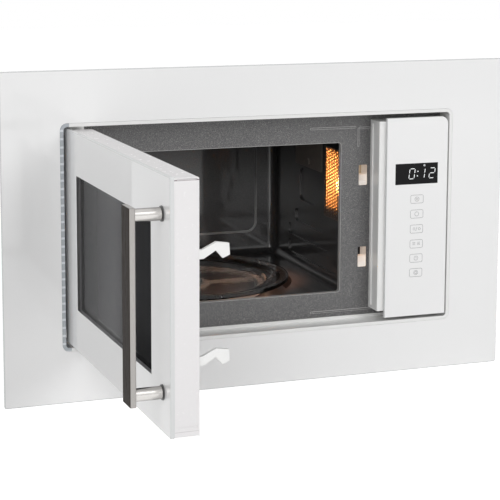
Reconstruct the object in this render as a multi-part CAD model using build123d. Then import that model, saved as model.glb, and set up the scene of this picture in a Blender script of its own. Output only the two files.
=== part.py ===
from build123d import *
import math
import os

# Built-in microwave oven with a white glass trim, modelled with its door open as it stands in use.
# Millimetres. X runs to the right, Y into the kitchen cabinet, Z up.
# The origin is on the cabinet's front plane, half way across the oven, at the height of the niche floor.

# Trim
TRIM_W = 595.0
TRIM_H = 366.0
TRIM_T = 12.0
TRIM_BELOW_NICHE = 3.0
GLASS_T = 4.0
GLASS_EDGE_CHAMFER = 1.2
CARRIER_INSET = 2.0
CARRIER_RIM = 14.0
CARRIER_PLATE = 2.0
CARRIER_RIB = 2.5
CARRIER_RIB_PITCH = 70.0
RIB_DROP = 0.5
NICHE_W = 560.0
NICHE_CLEARANCE = 2.0
FRONT_Y = -TRIM_T
TRIM_LOW = -TRIM_BELOW_NICHE
TRIM_HIGH = TRIM_LOW + TRIM_H
MID_Z = (TRIM_LOW + TRIM_HIGH) / 2

# Recess liner behind the trim's opening
OPEN_W = 458.0
OPEN_LOW = 59.0
OPEN_H = 243.0
OPEN_HIGH = OPEN_LOW + OPEN_H
OPEN_CORNER = 4.0
LIP_W = 4.0
LIP_T = 1.2
LINER_T = 1.6
SILL_UPSTAND = 3.6
SLOT_COUNT = 24
SLOT_PITCH = 9.0
SLOT_H = 4.6
SLOT_DEPTH = 15.0

# Steel face plate of the oven body
PLATE_SETBACK = 26.0
PLATE_T = 1.2
PLATE_Y = FRONT_Y + PLATE_SETBACK
BODY_W = 470.0
BODY_LOW = 53.5
BODY_H = 252.0
BODY_HIGH = BODY_LOW + BODY_H
BODY_DEPTH = 292.0
BODY_BACK = PLATE_Y + BODY_DEPTH
SHEET = 1.0

# Cooking chamber
CHAMBER_X = -41.0
CHAMBER_W = 318.0
CHAMBER_LOW = 88.0
CHAMBER_H = 192.0
CHAMBER_DEPTH = 258.8
CHAMBER_CORNER = 9.0
MOUTH_W = 289.0
MOUTH_LOW = 91.5
MOUTH_H = 176.0
MOUTH_CORNER = 3.5
MOUTH_RETURN = 5.0
CHAMBER_FRONT = PLATE_Y + PLATE_T
CHAMBER_BACK = CHAMBER_FRONT + CHAMBER_DEPTH
CHAMBER_LEFT = CHAMBER_X - CHAMBER_W / 2
CHAMBER_RIGHT = CHAMBER_X + CHAMBER_W / 2
CHAMBER_HIGH = CHAMBER_LOW + CHAMBER_H
EMBOSS = 2.2
GRILL_H = 16.0

# Turntable
WELL_R = 126.0
WELL_DEPTH = 15.0
WELL_SLOPE = 5.0
TRAY_R = 122.5
TRAY_T = 4.5
TRAY_FLAT_R = 95.0
TRAY_RIM_RISE = 4.6
ROLLER_R = 6.5
ROLLER_W = 7.0
ROLLER_TRACK_R = 100.0
ROLLER_GAP = 0.3
AXLE_R = 1.5
AXLE_PLAY = 0.08
RING_W = 7.0
COUPLER_R = 11.0
SHAFT_R = 3.0
WELL_LOW = CHAMBER_LOW - WELL_DEPTH
TURN_Y = CHAMBER_FRONT + CHAMBER_DEPTH / 2
ROLLER_Z = WELL_LOW + ROLLER_GAP + ROLLER_R
TRAY_LOW = ROLLER_Z + ROLLER_R + ROLLER_GAP

# Door, given in its closed place and then turned about its hinge
DOOR_PROUD = 3.0
DOOR_W = 361.6
DOOR_H = 236.0
DOOR_LOW = 64.0
DOOR_T = 27.5
DOOR_GAP = 4.4
DOOR_OPEN = 88.4
FRAME_INSET = 0.8
FRAME_T = 2.2
FRAME_BACK_R = 6.0
WINDOW_W = 258.0
WINDOW_H = 145.0
WINDOW_FROM_FREE_EDGE = 55.0
PIN_FROM_EDGE = 7.9
PIN_FROM_FRONT = 8.5
PIN_R = 2.5
PIN_PLAY = 0.05
PIN_LEN = 11.0
HINGE_NOTCH_X = 9.0
HINGE_NOTCH_H = 11.0
ARM_T = 2.5
BUSH_R = 4.0
BUSH_H = 8.0
DOOR_PAN_MARGIN = 12.0
DOOR_PAN_CHOKE = 20.0
PAN_GAP = 2.0
DOOR_LEFT = -OPEN_W / 2 + DOOR_GAP
DOOR_RIGHT = DOOR_LEFT + DOOR_W
DOOR_FRONT = FRONT_Y - DOOR_PROUD
DOOR_HIGH = DOOR_LOW + DOOR_H
DOOR_BACK = DOOR_FRONT + DOOR_T
DOOR_MID_Z = (DOOR_LOW + DOOR_HIGH) / 2
PIN_X = DOOR_LEFT + PIN_FROM_EDGE
PIN_Y = DOOR_FRONT + PIN_FROM_FRONT
WINDOW_RIGHT = DOOR_RIGHT - WINDOW_FROM_FREE_EDGE
WINDOW_X = WINDOW_RIGHT - WINDOW_W / 2

# Handle
BAR_W = 23.3
BAR_T = 6.0
BAR_L = 180.0
BAR_STANDOFF = 34.0
BAR_FROM_FREE_EDGE = 22.3
POST_R = 6.0
POST_SPACING = 163.0
WASHER_R = 7.2
WASHER_T = 1.0
HANDLE_X = DOOR_RIGHT - BAR_FROM_FREE_EDGE

# Latch
HOOK_T = 4.0
HOOK_REACH = 31.0
HOOK_SPACING = 97.0
HOOK_MID_Z = 180.0
HOOK_TRAVEL = 4.0
LATCH_BOARD_DEPTH = 32.0
LATCH_SLOT_W = 10.8
LATCH_SLOT_H = 24.0
LATCH_X = DOOR_RIGHT - FRAME_INSET - FRAME_T - 0.4 - HOOK_T / 2
LEVER_Y0 = DOOR_BACK - 13.0
LEVER_Y1 = DOOR_BACK - 4.6
LEVER_LOW = HOOK_MID_Z - HOOK_SPACING / 2 - 10
LEVER_HIGH = HOOK_MID_Z + HOOK_SPACING / 2 + 14
SLIDE_PLAY = 0.15
GUIDE_Z = 34.0
GUIDE_T = 1.8
SPRING_Z = HOOK_MID_Z - 18.0
SPRING_L = 22.0
SPRING_R = 1.45
SPRING_TURNS = 9.25
SPRING_WIRE_R = 0.3
SPRING_EYE = 2.0
PEG_R = 1.0
SPRING_Y = (LEVER_Y0 + 2 + LEVER_Y1 - 1.5) / 2

# Control panel
PANEL_LEFT = 148.4
PANEL_GAP = 3.0
PANEL_LOW = 63.2
PANEL_H = 234.2
PANEL_CORNER = 9.0
HOUSING_LEFT = 140.5
HOUSING_LOW = 71.0
HOUSING_H = 222.4
HOUSING_T = 2.0
PANEL_RIGHT = OPEN_W / 2 - PANEL_GAP
PANEL_W = PANEL_RIGHT - PANEL_LEFT
DISPLAY_X = 187.4
DISPLAY_Z = 231.7
DISPLAY_W = 54.0
DISPLAY_H = 24.6
BOARD_SETBACK = 8.0

# Supports under the body
RAIL_X = 196.0
RAIL_W = 24.0
RAIL_T = 1.5
FOOT_R = 11.0
FOOT_H = 6.0

# Screws into the cabinet's side panels
SIDE_SCREW_SPACING = 160.0
SIDE_SCREW_Y = 22.0
SIDE_SCREW_R = 2.3

# Pressed panels of the right-hand wall: front, back, bottom, top and corner radius
WALL_PANELS = (
    (FRONT_Y + 136.0, FRONT_Y + 194.0, MID_Z - 7.0, MID_Z + 34.0, 9.0),
    (FRONT_Y + 112.0, FRONT_Y + 208.0, MID_Z - 36.0, MID_Z - 20.5, 5.0),
    (FRONT_Y + 99.0, FRONT_Y + 231.0, MID_Z - 57.0, MID_Z - 42.0, 5.0),
    (FRONT_Y + 71.0, FRONT_Y + 231.0, MID_Z - 80.0, MID_Z - 63.0, 5.0),
)
LAMP_Y0 = FRONT_Y + 63.0
LAMP_Y1 = FRONT_Y + 109.5
LAMP_Z0 = MID_Z - 13.0
LAMP_Z1 = MID_Z + 73.0
COVER_Y0 = FRONT_Y + 118.0
COVER_Y1 = FRONT_Y + 206.0
COVER_Z0 = MID_Z + 38.0
COVER_Z1 = MID_Z + 90.0

# Magnetron, on the waveguide
WAVEGUIDE_DEPTH = 30.0
MAGNETRON_X = CHAMBER_RIGHT + SHEET + WAVEGUIDE_DEPTH
MAGNETRON_Y = (COVER_Y0 + COVER_Y1) / 2
MAGNETRON_Z = (COVER_Z0 + COVER_Z1) / 2

# Cooling fan
FAN_R = 44.0
FAN_HUB_R = 11.0
FAN_BLADES = 7
FAN_X = 176.0
FAN_Z = 246.0
FAN_SHAFT_R = 2.0

# Inlet for the mains lead
INLET_X = 196.0
INLET_Z = 98.0
INLET_R = 8.0
GLAND_BORE_R = 4.1
GLAND_LEN = 16.0

parts = {}


def block(x0, x1, y0, y1, z0, z1):
    """A box between two corners."""
    size = Box(abs(x1 - x0), abs(y1 - y0), abs(z1 - z0))
    return Pos((x0 + x1) / 2, (y0 + y1) / 2, (z0 + z1) / 2) * size


def panel(x0, x1, y0, y1, z0, z1, radius):
    """A flat plate facing front, with its four corners rounded as seen from the front."""
    outline = RectangleRounded(abs(x1 - x0), abs(z1 - z0), radius)
    plane = Plane(origin=((x0 + x1) / 2, y0, (z0 + z1) / 2), x_dir=(1, 0, 0), z_dir=(0, 1, 0))
    return extrude(plane * outline, amount=y1 - y0)


def side_panel(x0, x1, y0, y1, z0, z1, radius):
    """A flat plate facing sideways, with its four corners rounded as seen from the side."""
    outline = RectangleRounded(abs(y1 - y0), abs(z1 - z0), radius)
    plane = Plane(origin=(x0, (y0 + y1) / 2, (z0 + z1) / 2), x_dir=(0, 1, 0), z_dir=(1, 0, 0))
    return extrude(plane * outline, amount=x1 - x0)


def rod(x, y, z, radius, length, axis="z"):
    """A cylinder that starts at a point and runs along one axis."""
    directions = {"x": (1, 0, 0), "y": (0, 1, 0), "z": (0, 0, 1)}
    return extrude(Plane(origin=(x, y, z), z_dir=directions[axis]) * Circle(radius), amount=length)


def opened(shape):
    """Turns a door piece from its closed place to the open place, about the hinge pins."""
    return Pos(PIN_X, PIN_Y, 0) * (Rot(0, 0, -DOOR_OPEN) * (Pos(-PIN_X, -PIN_Y, 0) * shape))


def sheet_channel(profile, x, z, y0, y1):
    """Extrudes a closed outline of (x, z) points along Y, from y0 to y1."""
    face = make_face(Polyline([(x + px, z + pz) for px, pz in profile], close=True))
    plane = Plane(origin=(0, y0, 0), x_dir=(1, 0, 0), z_dir=(0, -1, 0))
    return extrude(plane * face, amount=-(y1 - y0))


def make_trim_glass():
    """White glass front with polished edges and the opening for door and controls."""
    plate = panel(-TRIM_W / 2, TRIM_W / 2, FRONT_Y, FRONT_Y + GLASS_T, TRIM_LOW, TRIM_HIGH, 2.0)
    plate = chamfer(plate.faces().sort_by(Axis.Y)[0].edges(), GLASS_EDGE_CHAMFER)
    half = OPEN_W / 2 + LIP_W
    hole = panel(-half, half, FRONT_Y - 1, FRONT_Y + GLASS_T + 1,
                 OPEN_LOW - LIP_W, OPEN_HIGH + LIP_W, OPEN_CORNER + LIP_W)
    return plate - hole


def make_trim_carrier():
    """Ribbed plastic frame that the trim glass is bonded to, and that bears on the cabinet."""
    front = FRONT_Y + GLASS_T
    half = TRIM_W / 2 - CARRIER_INSET
    low = TRIM_LOW + CARRIER_INSET
    high = TRIM_HIGH - CARRIER_INSET
    inner = OPEN_W / 2 + LINER_T + 0.4
    inner_low = OPEN_LOW - LINER_T - 0.4
    inner_high = OPEN_HIGH + LINER_T + 0.4
    body = panel(-half, half, front, front + CARRIER_PLATE, low, high, 4.0)
    rim = panel(-half, half, front, 0, low, high, 4.0)
    rim -= panel(-half + CARRIER_RIM, half - CARRIER_RIM, front - 1, 1,
                 low + CARRIER_RIM, high - CARRIER_RIM, 3.0)
    wall = 3.0
    collar = panel(-inner - wall, inner + wall, front, 0, inner_low - wall, inner_high + wall, 6.0)
    body += rim
    body += collar
    count = int(half // CARRIER_RIB_PITCH)
    for i in range(-count, count + 1):
        x = i * CARRIER_RIB_PITCH
        body += block(x - CARRIER_RIB / 2, x + CARRIER_RIB / 2, front, -RIB_DROP, low + 2, inner_low - 1)
        body += block(x - CARRIER_RIB / 2, x + CARRIER_RIB / 2, front, -RIB_DROP, inner_high + 1, high - 2)
    for z in (MID_Z - CARRIER_RIB_PITCH, MID_Z, MID_Z + CARRIER_RIB_PITCH):
        for x0, x1 in ((-half + 2, -inner - 1), (inner + 1, half - 2)):
            body += block(x0, x1, front, -RIB_DROP, z - CARRIER_RIB / 2, z + CARRIER_RIB / 2)
    hole = panel(-inner, inner, front - 1, 1, inner_low, inner_high, OPEN_CORNER + LINER_T)
    return body - hole


def make_recess_liner():
    """White sleeve between trim and body, with a front lip, a sill and a slotted hinge side."""
    half = OPEN_W / 2
    outer = panel(-half - LINER_T, half + LINER_T, FRONT_Y, PLATE_Y,
                  OPEN_LOW - LINER_T, OPEN_HIGH + LINER_T, OPEN_CORNER + LINER_T)
    lip_fit = 0.2
    lip = panel(-half - LIP_W + lip_fit, half + LIP_W - lip_fit, FRONT_Y, FRONT_Y + LIP_T,
                OPEN_LOW - LIP_W + lip_fit, OPEN_HIGH + LIP_W - lip_fit, OPEN_CORNER + LIP_W - lip_fit)
    hole = panel(-half, half, FRONT_Y - 1, PLATE_Y + 1, OPEN_LOW, OPEN_HIGH, OPEN_CORNER)
    sleeve = (outer + lip) - hole
    sleeve += block(-half, half, PLATE_Y - LINER_T, PLATE_Y, OPEN_LOW - 0.2, OPEN_LOW + SILL_UPSTAND)
    slot_front = FRONT_Y + 5.0
    for i in range(SLOT_COUNT):
        z = MID_Z + (i - (SLOT_COUNT - 1) / 2) * SLOT_PITCH
        sleeve -= block(-half - LINER_T - 1, -half + 1, slot_front, slot_front + SLOT_DEPTH,
                        z - SLOT_H / 2, z + SLOT_H / 2)
    return sleeve


def make_trim_brackets():
    """Two steel brackets that tie the trim to the oven body and take the cabinet's side screws."""
    inner = BODY_W / 2 + SHEET + 0.3
    outer = NICHE_W / 2 - NICHE_CLEARANCE
    t = 1.2
    depth = 36.0
    low = MID_Z - 110.0
    high = MID_Z + 110.0
    made = []
    for side in (-1, 1):
        web = block(side * inner, side * outer, -RIB_DROP, t, low, high)
        web += block(side * inner, side * (inner + t), 0, depth, low, high)
        web += block(side * (outer - t), side * outer, 0, depth, low, high)
        for z in (MID_Z - SIDE_SCREW_SPACING / 2, MID_Z + SIDE_SCREW_SPACING / 2):
            web -= rod(side * (outer + 2), SIDE_SCREW_Y, z, SIDE_SCREW_R, -side * 6, "x")
        for z in (MID_Z - 60, MID_Z, MID_Z + 60):
            web -= panel(side * (inner + 9), side * (outer - 9), -1, t + 1, z - 20, z + 20, 4.0)
        made.append(web)
    return Compound(children=made)


def make_face_plate():
    """Pressed steel face of the body: the chamber mouth, the latch slots and stiffening beads."""
    half = BODY_W / 2
    plate = panel(-half, half, PLATE_Y, PLATE_Y + PLATE_T, BODY_LOW + SHEET, BODY_HIGH - SHEET, 4.0)
    mouth_left = CHAMBER_X - MOUTH_W / 2
    mouth_right = CHAMBER_X + MOUTH_W / 2
    mouth_high = MOUTH_LOW + MOUTH_H
    for x0, x1, z in ((65.0, 122.0, MID_Z + 105.0), (126.0, 139.8, MID_Z + 103.8), (67.0, 144.0, MID_Z - 111.0)):
        plate += panel(x0, x1, PLATE_Y - 0.6, PLATE_Y, z - 1.0, z + 1.0, 0.9)
    plate += panel(124.4, 126.4, PLATE_Y - 0.6, PLATE_Y, MID_Z + 82, MID_Z + 104, 0.9)
    collar = panel(mouth_left - PLATE_T, mouth_right + PLATE_T, PLATE_Y + 0.4, PLATE_Y + PLATE_T + MOUTH_RETURN,
                   MOUTH_LOW - PLATE_T, mouth_high + PLATE_T, MOUTH_CORNER + PLATE_T)
    plate += collar
    plate -= panel(mouth_left, mouth_right, PLATE_Y - 2, PLATE_Y + 12, MOUTH_LOW, mouth_high, MOUTH_CORNER)
    for z in (HOOK_MID_Z - HOOK_SPACING / 2, HOOK_MID_Z + HOOK_SPACING / 2):
        plate -= panel(LATCH_X - LATCH_SLOT_W / 2, LATCH_X + LATCH_SLOT_W / 2, PLATE_Y - 2, PLATE_Y + 4,
                       z - LATCH_SLOT_H / 2, z + LATCH_SLOT_H / 2, 1.2)
    return plate


def chamber_volume(grow):
    """The room inside the chamber with its pressed panels, grown outwards by a sheet's thickness."""
    room = block(CHAMBER_LEFT - grow, CHAMBER_RIGHT + grow, CHAMBER_FRONT, CHAMBER_BACK + grow,
                 CHAMBER_LOW - grow, CHAMBER_HIGH + grow)
    room = fillet(room.edges().filter_by(Axis.Z).sort_by(Axis.Y)[-2:], CHAMBER_CORNER + grow)
    room = fillet(room.edges().filter_by(Axis.Y), CHAMBER_CORNER + grow)
    back = panel(CHAMBER_X - 134 - grow, CHAMBER_X + 134 + grow, CHAMBER_BACK - 6, CHAMBER_BACK + EMBOSS + grow,
                 MID_Z - 63.5 - grow, MID_Z + 76 + grow, 13.0 + grow)
    room += back
    side = CHAMBER_RIGHT + EMBOSS + grow
    for y0, y1, z0, z1, r in WALL_PANELS:
        room += side_panel(CHAMBER_RIGHT - 4, side, y0 - grow, y1 + grow, z0 - grow, z1 + grow, r + grow)
    well = Plane(origin=(CHAMBER_X, TURN_Y, WELL_LOW - grow)) * Circle(WELL_R - WELL_SLOPE + grow)
    top = Plane(origin=(CHAMBER_X, TURN_Y, CHAMBER_LOW + 0.5)) * Circle(WELL_R + grow)
    room += loft([well, top])
    return room


def make_chamber():
    """Enamelled steel chamber with a turntable well, pressed walls and openings for lamp, waves and grill."""
    shell = chamber_volume(SHEET) - chamber_volume(0)
    wall = (CHAMBER_RIGHT - 3, CHAMBER_RIGHT + 6)
    shell -= block(*wall, LAMP_Y0 + 3, LAMP_Y1 - 3, LAMP_Z0 + 3, LAMP_Z1 - 3)
    shell -= block(*wall, COVER_Y0 + 8, COVER_Y1 - 8, COVER_Z0 + 6, COVER_Z1 - 6)
    shell -= rod(CHAMBER_X, TURN_Y, WELL_LOW - 5, SHAFT_R + 3, 10)
    for i in range(5):
        x = CHAMBER_X + (i - 2) * 34.0
        shell -= panel_top(x - 11, x + 11, TURN_Y - 30, TURN_Y + 30)
    return shell


def panel_top(x0, x1, y0, y1):
    """A cut through the chamber's ceiling."""
    return block(x0, x1, y0, y1, CHAMBER_HIGH - 2, CHAMBER_HIGH + 4)


def make_lamp_grille():
    """Perforated plate in front of the oven lamp."""
    face = CHAMBER_RIGHT - 0.8
    grille = side_panel(face, CHAMBER_RIGHT, LAMP_Y0, LAMP_Y1, LAMP_Z0, LAMP_Z1, 3.0)
    pitch = 6.0
    columns = 6
    rows = 12
    outline = RegularPolygon(1.9, 6)
    mid_y = (LAMP_Y0 + LAMP_Y1) / 2
    mid_z = (LAMP_Z0 + LAMP_Z1) / 2
    holes = []
    for row in range(rows):
        shift = 0.25 * pitch * (1 if row % 2 else -1)
        for column in range(columns):
            y = mid_y + (column - (columns - 1) / 2) * pitch + shift
            z = mid_z + (row - (rows - 1) / 2) * pitch
            plane = Plane(origin=(face - 1, y, z), x_dir=(0, 1, 0), z_dir=(1, 0, 0))
            holes.append(extrude(plane * outline, amount=3))
    return grille - holes


def make_lamp_holder():
    """Moulded holder that clips behind the perforated plate and carries the lamp."""
    x0 = CHAMBER_RIGHT + SHEET
    holder = block(x0, x0 + 30, LAMP_Y0 - 2, LAMP_Y1 + 2, LAMP_Z0 + 10, LAMP_Z1 + 2)
    holder -= block(x0 - 1, x0 + 28, LAMP_Y0, LAMP_Y1, LAMP_Z0 + 12, LAMP_Z1)
    holder += rod((x0 + 15), (LAMP_Y0 + LAMP_Y1) / 2, LAMP_Z0 + 2, 9.0, 12)
    return holder


def make_lamp_bulb():
    """Small bulb standing in its holder."""
    x = CHAMBER_RIGHT + SHEET + 15
    y = (LAMP_Y0 + LAMP_Y1) / 2
    z = LAMP_Z0 + 14
    outline = [(0, 0), (6.0, 0), (6.0, 8.0), (8.6, 15.0), (10.4, 22.0), (10.4, 28.0), (8.0, 33.5), (4.0, 36.4), (0, 37.0)]
    face = make_face(Polyline(outline, close=True))
    return Pos(x, y, z) * revolve(Plane.XZ * face, Axis.Z)


def make_waveguide_cover():
    """Mica sheet over the mouth of the waveguide, held by a moulded clip."""
    sheet = side_panel(CHAMBER_RIGHT - 0.8, CHAMBER_RIGHT, COVER_Y0, COVER_Y1, COVER_Z0, COVER_Z1, 3.0)
    mid = (COVER_Y0 + COVER_Y1) / 2
    clip = rod(CHAMBER_RIGHT - 2.4, mid, COVER_Z0 + 8, 4.0, 1.6, "x")
    return sheet + clip


def make_waveguide():
    """Rectangular sheet duct that leads the waves from the magnetron to the chamber."""
    x0 = CHAMBER_RIGHT + SHEET
    depth = 30.0
    y1 = COVER_Y1 + 2
    box = block(x0, x0 + depth, COVER_Y0, y1, COVER_Z0 - 2, COVER_Z1 + 2)
    flange = block(x0, x0 + 1.2, COVER_Y0 + 0.5, y1 + 8, COVER_Z0 - 2.5, COVER_Z1 + 3)
    duct = box + flange
    duct -= block(x0 - 1, x0 + depth - 1.2, COVER_Y0 + 1.2, y1 - 1.2, COVER_Z0, COVER_Z1)
    duct -= rod(x0 + depth - 5, (COVER_Y0 + COVER_Y1) / 2, (COVER_Z0 + COVER_Z1) / 2, 13.0, 10, "x")
    return duct


def make_magnetron():
    """Magnetron: antenna, yoke with ring magnets, cooling fins and filter box."""
    x = MAGNETRON_X
    y = MAGNETRON_Y
    z = MAGNETRON_Z
    tube = rod(x - 16, y, z, 7.0, 17, "x")
    tube += rod(x, y, z, 12.0, 52, "x")
    yoke = block(x, x + 50, y - 40, y + 40, z - 27, z + 27)
    yoke -= block(x + 2, x + 48, y - 41, y + 41, z - 25, z + 25)
    tube += yoke
    tube += rod(x + 2, y, z, 22.0, 11, "x")
    tube += rod(x + 37, y, z, 22.0, 11, "x")
    for i in range(5):
        fin = x + 16.5 + i * 4.4
        tube += block(fin, fin + 0.8, y - 37, y + 37, z - 25.2, z + 25.2)
    tube += block(x + 50, x + 74, y - 22, y + 22, z - 24, z + 24)
    return tube


def make_transformer():
    """High-voltage transformer: laminated core on its feet with two windings."""
    x0 = CHAMBER_RIGHT + 22.0
    y0 = FRONT_Y + 78.0
    z0 = BODY_LOW + SHEET
    core = block(x0, x0 + 82, y0, y0 + 62, z0 + 2, z0 + 66)
    core -= block(x0 + 16, x0 + 29, y0 - 1, y0 + 63, z0 + 16, z0 + 52)
    core -= block(x0 + 53, x0 + 66, y0 - 1, y0 + 63, z0 + 16, z0 + 52)
    core += block(x0 - 6, x0 + 88, y0 + 4, y0 + 58, z0, z0 + 2)
    return core


def make_transformer_coils():
    """Primary and secondary windings round the core's middle leg."""
    x0 = CHAMBER_RIGHT + 22.0
    y0 = FRONT_Y + 78.0
    z0 = BODY_LOW + SHEET
    made = []
    for low, high in ((17.0, 32.0), (35.0, 51.5)):
        ring = block(x0 + 16.5, x0 + 65.5, y0 - 9, y0 + 71, z0 + low, z0 + high)
        ring = fillet(ring.edges().filter_by(Axis.Z), 9.0)
        ring -= block(x0 + 28.7, x0 + 53.3, y0 - 0.3, y0 + 62.3, z0 + low - 1, z0 + high + 1)
        made.append(ring)
    return Compound(children=made)


def make_capacitor():
    """Oval high-voltage capacitor with two tabs."""
    x = CHAMBER_RIGHT + 58.0
    y = FRONT_Y + 190.0
    z = BODY_LOW + SHEET
    can = extrude(Plane(origin=(x, y, z)) * SlotOverall(54, 34), amount=76)
    for dx in (-12, 12):
        can += block(x + dx - 3.2, x + dx + 3.2, y - 0.4, y + 0.4, z + 75, z + 86)
    return can


def make_diode():
    """High-voltage diode on its lead lug."""
    y = FRONT_Y + 190.0
    z = BODY_LOW + SHEET
    x = CHAMBER_RIGHT + 94.0
    lug = block(x - 6, x + 6, y - 8, y + 8, z, z + 1.2)
    lug += rod(x, y, z, 3.2, 24)
    return lug


def make_fan_shroud():
    """Moulded fan frame screwed inside the back panel, with an air guide towards the magnetron."""
    y0 = BODY_BACK - SHEET - 46
    y1 = BODY_BACK - SHEET
    shroud = panel(FAN_X - 52, FAN_X + 52, y0, y1, FAN_Z - 52, FAN_Z + 52, 10.0)
    shroud -= rod(FAN_X, y0 - 1, FAN_Z, FAN_R + 3.0, 60, "y")
    for angle in (45, 135, 225, 315):
        arm = block(0, FAN_R + 6, y1 - 3, y1, -3, 3)
        shroud += Pos(FAN_X, 0, FAN_Z) * (Rot(0, angle, 0) * arm)
    shroud += rod(FAN_X, y1 - 3, FAN_Z, 15.0, 3, "y")
    return shroud


def make_fan_motor():
    """Shaded-pole motor: laminated stack, coil and a shaft that carries the impeller."""
    y1 = BODY_BACK - SHEET - 3
    stack = panel(FAN_X - 24, FAN_X + 24, y1 - 12, y1, FAN_Z - 22, FAN_Z + 22, 4.0)
    stack += rod(FAN_X, y1 - 17, FAN_Z, 9.0, 6, "y")
    stack += rod(FAN_X, y1 - 32, FAN_Z, FAN_SHAFT_R, 16, "y")
    return stack


def make_fan_impeller():
    """Axial impeller with twisted blades on a cupped hub."""
    y1 = BODY_BACK - SHEET - 3 - 18.5
    y0 = y1 - 17
    hub = rod(FAN_X, y0, FAN_Z, FAN_HUB_R, 17, "y")
    hub = chamfer(hub.edges().sort_by(Axis.Y)[0], 2.5)
    blades = []
    for i in range(FAN_BLADES):
        root = Plane(origin=(FAN_HUB_R - 1.5, 0, 0), x_dir=(0, 1, 0), z_dir=(1, 0, 0))
        tip = Plane(origin=(FAN_R, 0, 0), x_dir=(0, 1, 0), z_dir=(1, 0, 0))
        inner = root * (Rot(0, 0, 50) * Rectangle(15, 1.6))
        outer = tip * (Rot(0, 0, 28) * Rectangle(19, 1.1))
        blade = loft([inner, outer])
        blades.append(Pos(FAN_X, (y0 + y1) / 2, FAN_Z) * (Rot(0, i * 360 / FAN_BLADES, 0) * blade))
    impeller = hub + blades
    bore = rod(FAN_X, y0 + 3, FAN_Z, FAN_SHAFT_R + AXLE_PLAY, 20, "y")
    return impeller - bore


def make_turntable_motor():
    """Flat synchronous motor under the chamber floor, with its shaft."""
    top = WELL_LOW - SHEET
    motor = rod(CHAMBER_X, TURN_Y, top - 14, 24.5, 14)
    motor = chamfer(motor.edges().sort_by(Axis.Z)[0], 1.2)
    motor += block(CHAMBER_X - 33, CHAMBER_X + 33, TURN_Y - 6, TURN_Y + 6, top - 1.2, top)
    motor += rod(CHAMBER_X, TURN_Y, top, SHAFT_R, 10)
    return motor


def make_coupler():
    """Three-lobed driver on the motor's shaft, which the tray drops onto."""
    z0 = WELL_LOW + 0.6
    hub = rod(CHAMBER_X, TURN_Y, z0, 8.0, TRAY_LOW - 0.4 - z0)
    for i in range(3):
        lobe = block(0, COUPLER_R + 5, -3.2, 3.2, z0 + 4, TRAY_LOW - 0.4)
        hub += Pos(CHAMBER_X, TURN_Y, 0) * (Rot(0, 0, i * 120 + 30) * lobe)
    hub -= rod(CHAMBER_X, TURN_Y, z0 - 1, SHAFT_R + AXLE_PLAY, 9.6)
    return hub


def make_roller_ring():
    """Spoked ring with three stub axles for the rollers."""
    z = ROLLER_Z
    ring = rod(CHAMBER_X, TURN_Y, z - 2, ROLLER_TRACK_R - 8, 4)
    ring -= rod(CHAMBER_X, TURN_Y, z - 3, ROLLER_TRACK_R - 8 - RING_W, 6)
    for i in range(3):
        arm = block(24, ROLLER_TRACK_R - 10, -3, 3, z - 1.6, z + 1.6)
        axle = rod(ROLLER_TRACK_R - 10, 0, z, AXLE_R, 10 + ROLLER_W / 2 + 1.5, "x")
        ring += Pos(CHAMBER_X, TURN_Y, 0) * (Rot(0, 0, i * 120) * (arm + axle))
    hub = rod(CHAMBER_X, TURN_Y, z - 2, 26, 4) - rod(CHAMBER_X, TURN_Y, z - 3, 19.5, 6)
    return ring + hub


def make_roller(index):
    """Small wheel that runs in the well and carries the tray."""
    wheel = rod(ROLLER_TRACK_R - ROLLER_W / 2, 0, ROLLER_Z, ROLLER_R, ROLLER_W, "x")
    wheel = chamfer(wheel.edges(), 0.7)
    wheel -= rod(ROLLER_TRACK_R - ROLLER_W, 0, ROLLER_Z, AXLE_R + AXLE_PLAY, 2 * ROLLER_W, "x")
    return Pos(CHAMBER_X, TURN_Y, 0) * (Rot(0, 0, index * 120) * wheel)


def make_tray():
    """Glass turntable with a raised rim, and lugs below that straddle the driver's lobes."""
    z = TRAY_LOW
    top = z + TRAY_T
    under = [(0, z), (TRAY_FLAT_R + 9, z), (TRAY_FLAT_R + 17, z + TRAY_RIM_RISE - 0.6)]
    rim = [(TRAY_R - 1.5, z + TRAY_RIM_RISE), (TRAY_R, z + TRAY_RIM_RISE + 1.6)]
    edge = [(TRAY_R - 0.8, top + TRAY_RIM_RISE), (TRAY_R - 4, top + TRAY_RIM_RISE)]
    inside = [(TRAY_FLAT_R + 12, top + TRAY_RIM_RISE - 1.2), (TRAY_FLAT_R, top), (0, top)]
    face = make_face(Polyline(under + rim + edge + inside, close=True))
    tray = Pos(CHAMBER_X, TURN_Y, 0) * revolve(Plane.XZ * face, Axis.Z)
    for i in range(3):
        lug = extrude(Plane(origin=(0, 0, z - 3.5)) * (Pos(15.5, 0) * SlotOverall(9, 4, 90)), amount=4)
        tray += Pos(CHAMBER_X, TURN_Y, 0) * (Rot(0, 0, i * 120 + 90) * lug)
    return tray


def make_grill_reflector():
    """Polished tray above the ceiling slots that holds the grill's quartz tubes."""
    z = CHAMBER_HIGH + SHEET
    half = 92.0
    cover = block(CHAMBER_X - half, CHAMBER_X + half, TURN_Y - 38, TURN_Y + 38, z, z + GRILL_H)
    cover = fillet(cover.edges().group_by(Axis.Z)[-1], 1.5)
    cover -= block(CHAMBER_X - half + 1, CHAMBER_X + half - 1, TURN_Y - 37, TURN_Y + 37, z - 1, z + 14)
    return cover


def make_grill_tubes():
    """Two quartz heating tubes with ceramic ends."""
    z = CHAMBER_HIGH + SHEET + 8
    made = []
    for y in (TURN_Y - 17, TURN_Y + 17):
        tube = rod(CHAMBER_X - 86, y, z, 4.5, 172, "x")
        for x in (CHAMBER_X - 91, CHAMBER_X + 79):
            tube += block(x, x + 12, y - 7, y + 7, z - 7, z + 6)
        made.append(tube)
    return Compound(children=made)


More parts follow.
